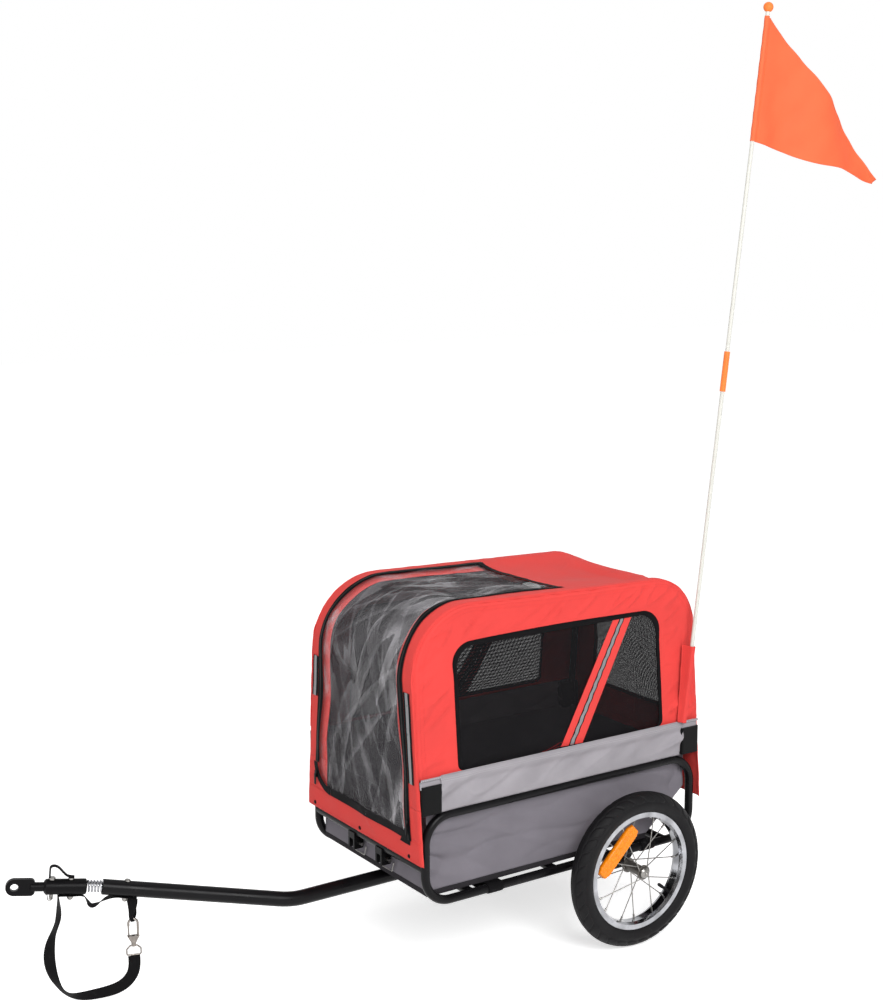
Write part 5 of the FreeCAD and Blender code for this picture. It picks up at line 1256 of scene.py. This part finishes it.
@dataclass
class Cover:
    """The band of cloth over front, roof and rear, between the leaning sides, with film, zips and rear window."""

    # Half the width at the hinge's height, the hoop's top over the hinge, and the roof's lift and fall
    half: float = 0.22980
    hoop_top: float = 0.393
    roof_lift: float = 0.00955
    roof_fall: float = 0.03064
    # The rear window's heights, half width and corner radius
    window_top: float = 0.674
    window_sill: float = 0.469
    window_half: float = 0.150
    window_bend: float = 0.045
    # Heights between which the reflective strips run, and the hem's rivets across
    left_strip: tuple[float, float] = (0.454, 0.643)
    right_strip: tuple[float, float] = (0.547, 0.640)
    rivets: tuple[float, ...] = (0.205, 0.008, -0.190)
    # Stations and heights from the front hem to the rear one, and the running length at each
    profile: Array = field(init=False)
    run: Array = field(init=False)
    # Running lengths of the hem band's edge, front split, cross zip, rear window's top and bottom, and rear split
    band: float = field(init=False)
    foot: float = field(init=False)
    cross: float = field(init=False)
    lintel: float = field(init=False)
    sill: float = field(init=False)
    split: float = field(init=False)
    # The upright zips' place across at the hem band
    zip_y: float = field(init=False)

    def __post_init__(self) -> None:
        """Works out the band's profile from the front hem over the roof to the rear hem, and the lines across it."""
        corners = np.array([[COVER_FRONT, HEM_Z], [COVER_FRONT, self.roof(COVER_FRONT)],
                            [COVER_REAR, self.roof(COVER_REAR)], [COVER_REAR, HEM_Z]])
        self.profile = resample(rounded(corners, [FRONT_BEND, REAR_BEND]), 1200)
        self.run = along(self.profile)
        self.band, self.foot = self.at_height(BAND_Z, False), self.at_height(SPLIT_Z, False)
        self.cross, self.split = self.at_station(CROSS_ZIP_X), self.at_height(SPLIT_Z, True)
        self.lintel, self.sill = self.at_height(self.window_top, True), self.at_height(self.window_sill, True)
        self.zip_y = self.width(np.array(BAND_Z)) - ZIP_INSET

    def roof(self, x: float) -> float:
        """The roof's height over a station, falling a little to the rear."""
        return HINGE_Z + self.roof_lift + self.hoop_top - self.roof_fall * (x - FRONT_X)

    def at_height(self, z: float, rear: bool) -> float:
        """The running length at which the front or rear wall passes a height.

        Args:
            z: the height.
            rear: whether the rear wall is meant.

        Returns:
            The running length from the front hem.
        """
        return self.run[-1] - (z - HEM_Z) if rear else z - HEM_Z

    def at_station(self, x: float) -> float:
        """The running length at which the roof passes a station."""
        roof = slice(200, 1000)
        return float(np.interp(x, self.profile[roof, 0], self.run[roof]))

    def width(self, z: Array) -> Array:
        """Half the band's width at a height, narrower upwards with the leaning sides."""
        return self.half - (z - HINGE_Z) * math.tan(LEAN)

    def _place(self, s: Array) -> tuple[Array, Array]:
        """The profile's stations and heights at running lengths, straight between its points."""
        return np.interp(s, self.run, self.profile[:, 0]), np.interp(s, self.run, self.profile[:, 1])

    def _normal(self, s: Array, step: float = 0.004) -> Array:
        """The profile's outward direction: square to the line from a step before to a step after.

        Args:
            s: running length along the profile.
            step: the step's length.

        Returns:
            Unit directions.
        """
        (x, z), after, before = self._place(s), self._place(s + step), self._place(s - step)
        line = np.stack([after[0] - x, after[1] - z], axis=-1) + np.stack([x - before[0], z - before[1]], axis=-1)
        line = line / np.maximum(np.linalg.norm(line, axis=-1, keepdims=True), 1e-9)
        return np.stack([-line[..., 1], np.zeros_like(x), line[..., 0]], axis=-1)

    def _hollow(self, x: Array, y: Array, z: Array) -> Array:
        """How far the roof hangs between the hoops: deepest at the middle line and behind the cross zip.

        Args:
            x: stations.
            y: places across.
            z: heights.

        Returns:
            The distance outwards, below zero.
        """
        on_roof = smooth((z - 0.70) / 0.07)
        sag = (0.007 + 0.021 * smooth((x + 0.16) / 0.26)) * smooth((x + 0.47) / 0.2) * smooth((0.19 - x) / 0.07)
        inner = np.clip(np.abs(y) / (self.width(z) - 0.026), 0.0, 1.0)
        return -sag * on_roof * (1.0 - inner ** 2.4)

    def surface(self, s: Array, y: Array, lift: float = 0.0, crinkle: float = 0.0) -> Array:
        """The band's points: its profile, sagging between the hoops on the roof and puckered at its seams.

        Args:
            s: running length along the profile.
            y: place across.
            lift: distance outwards from the cloth.
            crinkle: height of film creases.

        Returns:
            The places.
        """
        x, z = self._place(s)
        here = np.stack([x, y, z], axis=-1)
        share = np.clip(np.abs(y) / self.width(z), 0.0, 1.0)
        rim = (1.0 - share) * self.width(z)
        curl = -0.0032 * (1.0 - smooth(rim / 0.010)) ** 1.5
        pucker = 0.0004 * ripple(here, 0.04, 11) * np.exp(-rim / 0.03)
        loose = (0.0016 * ripple(here, 0.13, 14) + 0.0016 * creases(here, 0.3, 19)) * smooth((rim - 0.022) / 0.04)
        swell = loose + 0.0006
        flow = np.stack([y + 0.3 * s, 0.3 * s, np.zeros_like(s)], axis=-1)
        folds = creases(flow, 0.05, 31) + 0.8 * creases(flow, 0.11, 37) + 0.3 * ripple(flow, 0.03, 33) - 0.4
        calm = smooth((z - HEM_Z) / 0.03)
        out = self._hollow(x, y, z) + curl + (pucker + swell) * calm + crinkle * folds + lift
        return here + self._normal(s) * out[..., None]

    def patch(self, s: tuple[float, float], low: tuple[float, float], high: tuple[float, float], finish: int,
              shape: tuple[int, int], lift: float = 0.0, crinkle: float = 0.0) -> Patch:
        """A strip of the band between two lines across.

        Args:
            s: first and last running length.
            low: the first line across, as a share of the half width and metres added to it.
            high: the second line across, in the same terms.
            finish: the finish number.
            shape: how many points along and across.
            lift: distance outwards.
            crinkle: height of film creases.

        Returns:
            The patch.
        """
        run, over = np.meshgrid(np.linspace(s[0], s[1], shape[0]), np.linspace(0.0, 1.0, shape[1]), indexing="ij")
        half = self.width(self._place(run)[1])
        y = (low[0] * half + low[1]) * (1.0 - over) + (high[0] * half + high[1]) * over
        return Patch(self.surface(run, y, lift, crinkle), np.stack([y, run], axis=-1), finish)

    def build(self) -> None:
        """Makes the lower parts, which stay with the frame, and the upper halves, which are on no body."""
        self._lower()
        for side in Side:
            self._upper(side)

    def _lower(self) -> None:
        """The hem band, the strips' and film's feet, and the rear wall's foot."""
        band, foot = self.band, self.foot
        edges = inset(Side.LEFT, 0.0), inset(Side.RIGHT, 0.0)
        opening = inset(Side.LEFT, ZIP_INSET), inset(Side.RIGHT, ZIP_INSET)
        front = [self.patch((0.0, band), *edges, 0, (16, 120))]
        for side in Side:
            front += self._strip(side, (band, foot), (30, 30))
        film = self.patch((band, foot), *opening, 0, (34, 110), FILM_LIFT, 0.0022)
        screen = self.patch((band, foot), *opening, 0, (10, 40), SCREEN_LIFT)
        wall = self.patch((self.split, self.run[-1]), *edges, 0, (40, 120))
        trim = [self.patch((band - 0.004, band + 0.012), inset(Side.LEFT, ZIP_INSET - 0.006),
                           inset(Side.RIGHT, ZIP_INSET + ZIP_BEND), 0, (5, 90), 0.0018)]
        for side in Side:
            trim += self._zip(side, band - 0.004 if side is Side.LEFT else band + ZIP_BEND, foot)
        trim += self._hem_trim()
        low_cover = make_piece("front_cover_hem", front, [RED], "chassis", CABIN, CLOTH)
        low_film = make_piece("rain_film_foot", [film], [FILM], "chassis", CABIN)
        low_screen = make_piece("front_screen_foot", [screen], [SCREEN], "chassis", CABIN)
        low_rear = make_piece("rear_wall_foot", [wall], [RED], "chassis", CABIN, CLOTH)
        low_trim = make_piece("front_cover_trim", trim, [TAPE, ZIP, SILVER, THREAD_RED, RED], "chassis", CABIN)

    def _strip(self, side: Side, s: tuple[float, float], rows: tuple[int, int]) -> list[Patch]:
        """A front strip from its zip to the band's edge, and behind the zip a margin tucked under the strip.

        Args:
            side: which side's strip.
            s: first and last running length.
            rows: how many points run along the strip and along the margin.

        Returns:
            Its patches.
        """
        return [self.patch(s, inset(side, ZIP_INSET), inset(side, 0.0), 0, (rows[0], 18)),
                self.patch(s, inset(side, ZIP_INSET + MARGIN), inset(side, ZIP_INSET - TUCK), 0, (rows[1], 14),
                           MARGIN_LIFT)]

    def _zip(self, side: Side, start: float, end: float) -> list[Patch]:
        """A zip: a black tape along the film's edge with a narrow raised row of teeth.

        Args:
            side: which side's zip.
            start: first running length.
            end: last running length.

        Returns:
            Its patches.
        """
        count = max(8, int((end - start) / 0.004))
        tape, teeth = (0.009, 0, 7, 0.0012), (0.0025, 1, 5, 0.0022)
        return [self.patch((start, end), inset(side, ZIP_INSET + half), inset(side, ZIP_INSET - half), finish,
                           (count, across), lift) for half, finish, across, lift in (tape, teeth)]

    def _hem_trim(self) -> list[Patch]:
        """Three domed rivets on the front hem, the film's black near corner, its round far one, and hem stitches.

        Returns:
            The patches.
        """
        patches = []
        ring, dome = np.meshgrid(np.linspace(0.0, 2.0 * math.pi, 25), np.linspace(0.0, 1.0, 9), indexing="ij")
        for y in self.rivets:
            reach = 0.0046 * np.sin(dome * math.pi / 2.0)
            rivet = self.surface(0.010 + reach * np.cos(ring), y + reach * np.sin(ring))
            rivet[..., 0] -= 0.0024 * np.cos(dome * math.pi / 2.0)
            patches.append(Patch(rivet, None, 0))
        rise, over = np.meshgrid(np.linspace(0.0, 1.0, 14), np.linspace(0.0, 1.0, 8), indexing="ij")
        corner = -self.zip_y + 0.040 * over * (1.0 - rise) - 0.006
        patches.append(Patch(self.surface(self.band - 0.014 + 0.060 * rise, corner, 0.0015), None, 0))
        patches += self._far_bend()
        across = np.linspace(-0.235, 0.235, 200)
        for height in (0.006, 0.046):
            line = self.surface(np.full_like(across, height), across, 0.0005)
            patches.append(stitches(line, np.array([-1.0, 0.0, 0.0]), 3))
        return patches

    def _far_bend(self) -> list[Patch]:
        """The film's far lower corner: red cloth outside a quarter circle, and the tape's bend along it.

        The tape passes from the upright zip's width to the lower tape's as the bend turns.

        Returns:
            The patches.
        """
        patches = []
        turn, out = np.meshgrid(np.linspace(0.0, math.pi / 2.0, 30), np.linspace(0.0, 1.0, 9), indexing="ij")
        square = 1.0 / np.maximum(np.cos(turn), np.sin(turn))
        part = turn / (math.pi / 2.0)
        cloth, tape = (1.0, square, 4, 0.0019), (0.85 - 0.05 * part, 1.15 - 0.083 * part, 0, 0.0025)
        for first, last, finish, lift in (cloth, tape):
            share = ZIP_BEND * (first * (1.0 - out) + last * out)
            y = self.zip_y - ZIP_BEND + share * np.cos(turn)
            patches.append(Patch(self.surface(self.band + ZIP_BEND - share * np.sin(turn), y, lift), None, finish))
        return patches

    def _upper(self, side: Side) -> None:
        """One upper half: strip, film, screen, zip and reflective strip in front, then roof and rear wall.

        Args:
            side: which half.
        """
        sign, word = side.value, side.word
        front, lap = (self.foot, self.cross), 0.006
        opening, edge = inset(side, ZIP_INSET), inset(side, 0.0)
        strip = self._strip(side, front, (170, 150))
        film = [self.patch(front, MIDDLE, opening, 0, (190, 56), FILM_LIFT, 0.0024)]
        screen = [self.patch(front, MIDDLE, opening, 0, (70, 24), SCREEN_LIFT)]
        roof = [self.patch((self.cross, self.lintel), MIDDLE, edge, 0, (150, 64)),
                self.patch((self.sill, self.split), MIDDLE, edge, 0, (22, 64)), self._beside_window(side)]
        net = [self.patch((self.lintel - lap, self.sill + lap), MIDDLE, (0.0, sign * 0.157), 0, (40, 30), NET_LIFT)]
        trim = self._upper_trim(side) + [self._rear_binding(side)]
        pieces = {
            "cover_strip": make_piece(word + "_cover_strip", strip, [RED], None, CABIN, CLOTH),
            "rain_film": make_piece(word + "_rain_film", film, [FILM], None, CABIN),
            "screen": make_piece(word + "_front_screen", screen, [SCREEN], None, CABIN),
            "roof": make_piece(word + "_roof_cloth", roof, [RED], None, CABIN, CLOTH),
            "net": make_piece(word + "_rear_mesh", net, [NET], None, CABIN),
            "trim": make_piece(word + "_cover_trim", trim, [TAPE, ZIP, SILVER], None, CABIN),
        }
        for piece in pieces.values():
            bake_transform(piece)
        if side is Side.LEFT:
            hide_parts("front_cover")
            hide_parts("rain_window")
            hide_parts("roof_panel")
            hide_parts("rear_window_net")

    def _upper_trim(self, side: Side) -> list[Patch]:
        """The upright zip, half of the cross zip's tape, and the reflective strip on its black backing.

        Args:
            side: which half.

        Returns:
            The patches.
        """
        base, top = self.left_strip if side is Side.LEFT else self.right_strip
        reach = (self.at_height(base, False), self.at_height(top, False))
        taped = (self.cross - 0.007, self.cross + 0.007)
        return self._zip(side, self.foot, self.cross + 0.01) + [
            self.patch(taped, MIDDLE, inset(side, ZIP_INSET - 0.006), 0, (6, 40), 0.0016),
            self.patch(reach, inset(side, 0.034), inset(side, 0.012), 0, (50, 5), 0.0012),
            self.patch(reach, inset(side, 0.028), inset(side, 0.018), 2, (50, 5), 0.0018)]

    def _opening(self, s: Array) -> Array:
        """Half the rear window's width along the wall, drawn in at its rounded corners.

        Args:
            s: running length along the rear wall.

        Returns:
            Half the width.
        """
        bend = self.window_bend
        into = np.clip(bend - np.minimum(s - self.lintel, self.sill - s), 0.0, bend)
        return self.window_half - bend + np.sqrt(bend ** 2 - into ** 2)

    def _beside_window(self, side: Side) -> Patch:
        """The rear wall beside the window, from its rounded opening to the band's edge.

        Args:
            side: which half.

        Returns:
            The patch.
        """
        even = 0.5 - 0.5 * np.cos(np.linspace(0.0, math.pi, 60))
        rows = self.lintel + (self.sill - self.lintel) * even
        run, over = np.meshgrid(rows, np.linspace(0.0, 1.0, 34), indexing="ij")
        half = self.width(self._place(run)[1])
        y = side.value * (self._opening(run) * (1.0 - over) + half * over)
        return Patch(self.surface(run, y), np.stack([y, run], axis=-1), 0)

    def _rear_binding(self, side: Side) -> Patch:
        """Black binding round half of the rear window: a low arch along the opening's outline.

        Args:
            side: which half.

        Returns:
            The patch.
        """
        half, top, sill = self.window_half, self.lintel, self.sill
        flat = np.array([[0.0, top], [half, top], [half, sill], [0.0, sill]])
        line = resample(rounded(flat, [self.window_bend, self.window_bend]), 150)
        ahead = tangents(line)
        outward = np.stack([ahead[:, 1], -ahead[:, 0]], axis=1)
        spread = np.linspace(-0.002, 0.012, 7)
        place = line[:, None] + outward[:, None] * spread[None, :, None]
        arch = 0.0018 * np.sqrt(np.clip(1.0 - ((spread - 0.005) / 0.0071) ** 2, 0.0, 1.0))
        points = self.surface(place[..., 1], side.value * place[..., 0])
        points[..., 0] += 0.0004 + arch[None]
        return Patch(points, np.stack(np.meshgrid(spread, along(line)), axis=-1), 0)


@dataclass
class Tray:
    """The grey skirts on the top tubes, the tray's hanging walls and the floor webbing."""

    # The walls' stations, heights and half widths, the ramped foot, and the reach up behind the skirts
    front: float = -0.5032
    rear: float = 0.1952
    base: float = 0.2166
    top: float = 0.3915
    half: float = 0.2112
    side_y: float = 0.2119
    ramp: float = 0.087
    ramp_rise: float = 0.092
    tuck: float = 0.0085
    # The skirts' ends, the right one's front end, their distance from the middle, and their heights
    skirt: tuple[float, float] = (-0.5300, 0.2160)
    right_skirt: float = -0.5060
    skirt_y: float = 0.2262
    skirt_foot: float = 0.3893
    skirt_top: float = 0.4702
    # The floor straps' stations and width, the low tubes' place, and the radius of the wrap
    strap_stations: tuple[float, float] = (-0.341, 0.078)
    strap_width: float = 0.038
    tube_y: float = 0.222
    tube_z: float = 0.194
    wrap: float = 0.01065

    def build(self) -> None:
        """Makes the skirts, walls and webbing."""
        self._skirts()
        self._side_walls()
        self._end_walls()
        self._webbing()

    def _skirts(self) -> None:
        """Cloth between top tube and panel: a leaning strip with soft folds that grow towards its ends.

        Over the hinge blocks its foot is cut higher and it lies smooth. A cord is piped along its upper edge.
        """
        stations = np.unique(np.concatenate([
            np.linspace(*self.skirt, 220), np.linspace(-0.484, -0.473, 12), np.linspace(0.165, 0.176, 12)]))
        x, up = np.meshgrid(stations, np.linspace(0.0, 1.0, 22))
        here = np.stack([x, np.zeros_like(x), up * 0.1], axis=-1)
        over = smooth((-0.4785 - x) / 0.004) + smooth((x - 0.1705) / 0.004)
        ends = np.exp(-np.clip(x + 0.4745, 0.0, 1.0) / 0.09) + np.exp(-np.clip(0.1665 - x, 0.0, 1.0) / 0.09)
        slant = here @ np.array([[1.0, 0.0, 0.0], [0.0, 1.0, 0.0], [-1.3, 0.0, 0.5]])
        sway = np.sin(math.pi * np.clip(up, 0.0, 1.0)) ** 0.7 * (1.0 - over)
        fold = (0.0022 * ripple(slant, 0.07, 41) + 0.0070 * creases(slant, 0.10, 43)) * (0.25 + ends) * sway
        top = 0.0066 * smooth((up - 0.62) / 0.22) + 0.0056 * over * (1.0 - 0.6 * up)
        foot = self.skirt_foot + 0.0585 * over
        for side in Side:
            outward = np.array([0.0, side.value, 0.0])
            y = side.value * (self.skirt_y + fold + top)
            start = self.skirt[0] if side is Side.LEFT else self.right_skirt
            grid = np.stack([np.maximum(x, start), y, foot + up * (self.skirt_top - foot)], axis=-1)
            cloth = Patch(grid, np.stack([x, grid[..., 2]], axis=-1), 0)
            threads = [stitches(grid[row] + outward * 0.0004, outward, 1) for row in (18, 19)]
            pipe = swept(grid[-1, 16:-4] + outward * 0.0006 + UP * 0.0002, outward, circle(0.0012, 8), 2)
            piece = make_piece(side.word + "_skirt_cloth", [cloth], [SKIRT_GREY], "chassis", CABIN, CLOTH)
            seam = make_piece(side.word + "_skirt_seam", threads + [pipe], [SKIRT_GREY, THREAD_GREY, SKIRT_GREY],
                              "chassis")
            if side is Side.LEFT:
                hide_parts("canopy_skirts")

    def _side_walls(self) -> None:
        """Side walls with a ramped foot: ripples and creases on a slant, deepest at the corners and half way up."""
        x, up = np.meshgrid(np.linspace(self.front, self.rear, 240), np.linspace(0.0, 1.0, 44))
        foot = self.base + self.ramp_rise * np.clip((x - self.ramp) / (self.rear - self.ramp), 0.0, 1.0)
        tuck = self.tuck * smooth((x + 0.478) / 0.003) * smooth((0.170 - x) / 0.003)
        z = foot + up * (self.top + tuck - foot)
        here = np.stack([x, np.zeros_like(x), z], axis=-1)
        slant = here @ np.array([[0.5, 0.0, 0.35], [0.0, 1.0, 0.0], [1.1, 0.0, -0.5]])
        corner = np.exp(-(x - self.front) / 0.09) + 0.5 * np.exp(-(self.rear - x) / 0.06)
        for side in Side:
            fold = 0.005 * np.abs(ripple(slant, 0.09, 50 + side.value)) * (0.3 + corner)
            fold += 0.012 * creases(slant, 0.11, 55 + side.value) * (0.25 + corner)
            y = side.value * (self.side_y - fold * np.sin(math.pi * np.clip(up, 0.02, 0.98)))
            wall = Patch(np.stack([x, y, z], axis=-1), np.stack([x, z], axis=-1))
            piece = make_piece(side.word + "_tray_wall", [wall], [GREY], "chassis", TRAY_MIDDLE, CLOTH)
            if side is Side.LEFT:
                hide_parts("tray_walls")

    def _end_walls(self) -> None:
        """The upright front wall and the rear wall, which climbs the ramp first: both hang in shallow ripples."""
        y, up = np.meshgrid(np.linspace(-self.half, self.half, 150), np.linspace(0.0, 1.0, 40))
        z = self.base + up * (self.top - self.base)
        here = np.stack([np.zeros_like(y), y, z], axis=-1)
        sway = 0.004 * np.abs(ripple(here * np.array([1.0, 1.0, 0.4]), 0.09, 61)) * np.sin(math.pi * up)
        front = Patch(np.stack([self.front + 0.0002 + sway, y, z], axis=-1), np.stack([y, z], axis=-1))
        rows, rear_x = 44, self.rear - 0.0012
        line = resample(np.array([[self.ramp - 0.001, self.base], [rear_x, self.base + self.ramp_rise],
                                  [rear_x, self.top]]), rows)
        over, row = np.meshgrid(np.linspace(-self.half, self.half, 120), np.arange(rows))
        rear = np.stack([line[row, 0], over, line[row, 1]], axis=-1)
        rear[..., 0] -= 0.003 * np.abs(ripple(rear, 0.1, 64)) * np.sin(math.pi * row / (rows - 1.0))
        rear[..., 2] += (self.tuck * smooth((self.half - np.abs(over)) / 0.006)
                         * np.clip((row - 33.0) / 10.0, 0.0, 1.0))
        ends = make_piece("tray_front_wall", [front], [GREY], "chassis", TRAY_MIDDLE, CLOTH)
        back = make_piece("tray_rear_wall", [Patch(rear)], [GREY], "chassis", TRAY_MIDDLE, CLOTH)

    def _webbing(self) -> None:
        """Two floor straps: each wraps both low tubes in half circles and is tucked back under the floor."""
        turn = np.linspace(-math.pi / 2.0, math.pi / 2.0, 28)
        right = np.stack([0.0 * turn, self.tube_y + self.wrap * np.cos(turn), self.tube_z + self.wrap * np.sin(turn)],
                         axis=1)
        mirror = np.array([1.0, -1.0, 1.0])
        tail = np.array([[0.0, 0.162, self.tube_z - self.wrap]])
        path = resample(np.concatenate([tail, right, right[::-1] * mirror, tail * mirror]), 260)
        lengthwise = np.array([1.0, 0.0, 0.0])
        straps, seams = [], []
        for x in self.strap_stations:
            line = path + lengthwise * x
            straps.append(swept(line, lengthwise, strap_outline(self.strap_width, 0.002)))
            for over in (-0.016, 0.016):
                seams.append(stitches(line[40:80] + lengthwise * over, np.array([0.0, 1.0, 0.0]), 0))
        piece = make_piece("floor_strap_webbing", straps, [WEBBING], "chassis")
        seam = make_piece("floor_strap_stitching", seams, [WEBBING], "chassis")
        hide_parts("floor_webbing")
        LOG.info("%s lies on %s", seam.name, piece.name)


@dataclass
class Flag:
    """The triangular flag on its pole and the sewn pocket that holds the pole's foot."""

    # The pole's lower end, and its lean to the rear
    foot: tuple[float, float, float] = (0.167, -0.2403, 0.473)
    lean: float = math.radians(7.4)
    # The flag's corners along the pole, its start and reach from the pole, and its sleeve's radius
    top: float = 1.5613
    low: float = 1.2933
    tip: float = 1.2560
    hoist: float = 0.0052
    fly: float = 0.3998
    sleeve: float = 0.0056
    # The pocket's ends along the pole, its half width, and its front's distance from the pole's middle
    pocket: tuple[float, float] = (-0.003, 0.172)
    pocket_half: float = 0.0119
    pocket_front: float = 0.0055

    def place(self, out: Array, side: Array, up: Array) -> Array:
        """Turns distances from the pole's foot into places, by the pole's lean.

        Args:
            out: distance rearwards, square to the pole.
            side: distance to the right.
            up: distance along the pole.

        Returns:
            The places.
        """
        x = self.foot[0] + out * math.cos(self.lean) + up * math.sin(self.lean)
        z = self.foot[2] - out * math.sin(self.lean) + up * math.cos(self.lean)
        return np.stack([x, self.foot[1] + side, z], axis=-1)

    def build(self) -> None:
        """Makes the flag and its pocket."""
        self._cloth()
        self._pocket()

    def _cloth(self) -> None:
        """A triangle: lines from hoist to tip, waving sideways more towards the tip, with a sleeve round the pole."""
        top, low, tip = self.top, self.low, self.tip
        fly, up = np.meshgrid(np.linspace(0.0, 1.0, 120), np.linspace(0.0, 1.0, 60), indexing="ij")
        out = self.hoist + fly * self.fly
        upper = top + (tip + 0.010 - top) * fly + 0.010 * np.sin(math.pi * fly)
        lower = low + (tip - low) * fly + 0.009 * np.sin(fly * 11.0) * (1.0 - fly) * fly * 2.0
        along_pole = lower + (upper - lower) * up
        wave = 0.017 * np.sin(fly * 7.6 + 1.2 * up + 0.3) * smooth(fly / 0.25)
        wave += 0.0022 * ripple(np.stack([out, 0.0 * out, along_pole], axis=-1), 0.07, 71) * smooth(fly / 0.2)
        cloth = Patch(self.place(out, wave, along_pole), np.stack([out, along_pole], axis=-1))
        turn, height = np.meshgrid(np.linspace(0.0, 2.0 * math.pi, 24, endpoint=False), np.linspace(0.0, 1.0, 40))
        sleeve = self.sleeve + 0.0004 * np.sin(height * 50.0) * np.cos(turn)
        rise = low + (top - low) * height
        tube = Patch(self.place(sleeve * np.cos(turn), sleeve * np.sin(turn), rise), None, 0, ring=True)
        seam_line = self.place(np.full(40, 0.0105), np.full(40, -0.0011), np.linspace(low, top - 0.004, 40))
        flag = make_piece("flag_triangle", [cloth], [ORANGE], "flag", np.array([0.5, 0.5, 1.8]), 0.0009)
        hem = make_piece("flag_sleeve", [tube], [ORANGE], "flag", np.array([0.37, -0.2403, 1.87]))
        seam = make_piece("flag_stitching", [stitches(seam_line, np.array([0.0, -1.0, 0.0]), 0)], [FERRULE], "flag")
        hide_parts("flag_cloth")

    def _pocket(self) -> None:
        """A sleeve of red cloth: an arch over the pole with flat flanges sewn to the leaning panel."""
        across, up = np.meshgrid(np.linspace(-1.0, 1.0, 41), np.linspace(*self.pocket, 60))
        arch = 0.0062 * np.sqrt(np.clip(1.0 - (across / 0.62) ** 2, 0.0, 1.0))
        wide = across * self.pocket_half
        back = 0.0875 * (up * math.cos(self.lean)) + 0.0049
        flank = smooth((np.abs(across) - 0.35) / 0.65)
        side = -self.pocket_front - arch * 0.25 + (back + self.pocket_front) * flank
        points = self.place(wide, side, up)
        points = points + 0.0004 * ripple(points, 0.03, 77)[..., None] * np.array([0.0, 1.0, 0.0])
        piece = make_piece("flag_pocket_cloth", [Patch(points, np.stack([wide, up], axis=-1))], [RED], "left_side",
                           CABIN, 0.0012)
        seams = [stitches(line + np.array([0.0, -0.0008, 0.0]), np.array([0.0, -1.0, 0.1]), 0)
                 for line in (points[:, 3], points[:, -4])]
        seam = make_piece("flag_pocket_stitching", seams, [THREAD_RED], "left_side")
        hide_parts("flag_pocket")


@dataclass
class Hardware:
    """The frame's rigid pieces, which keep their CAD shapes and get their finishes here."""

    finishes: dict[Finish, tuple[str, ...]] = field(default_factory=lambda: CAD_FINISHES)

    def build(self) -> None:
        """Puts each finish on its nodes."""
        for finish, names in self.finishes.items():
            for name in names:
                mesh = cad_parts[name].data
                mesh.materials.clear()
                mesh.materials.append(finish.material())
                LOG.info("%s: %s", name, finish.name)


def main() -> None:
    """Builds the studio and every sub-assembly in order."""
    logging.basicConfig(level=logging.INFO, format="%(name)s %(message)s")
    Studio().build()
    Hitch().build()
    Hardware().build()
    for side in Side:
        Wheel(side).build()
        SidePanel(side).build()
    Cover().build()
    Tray().build()
    Flag().build()


if __name__ == "__main__":
    main()
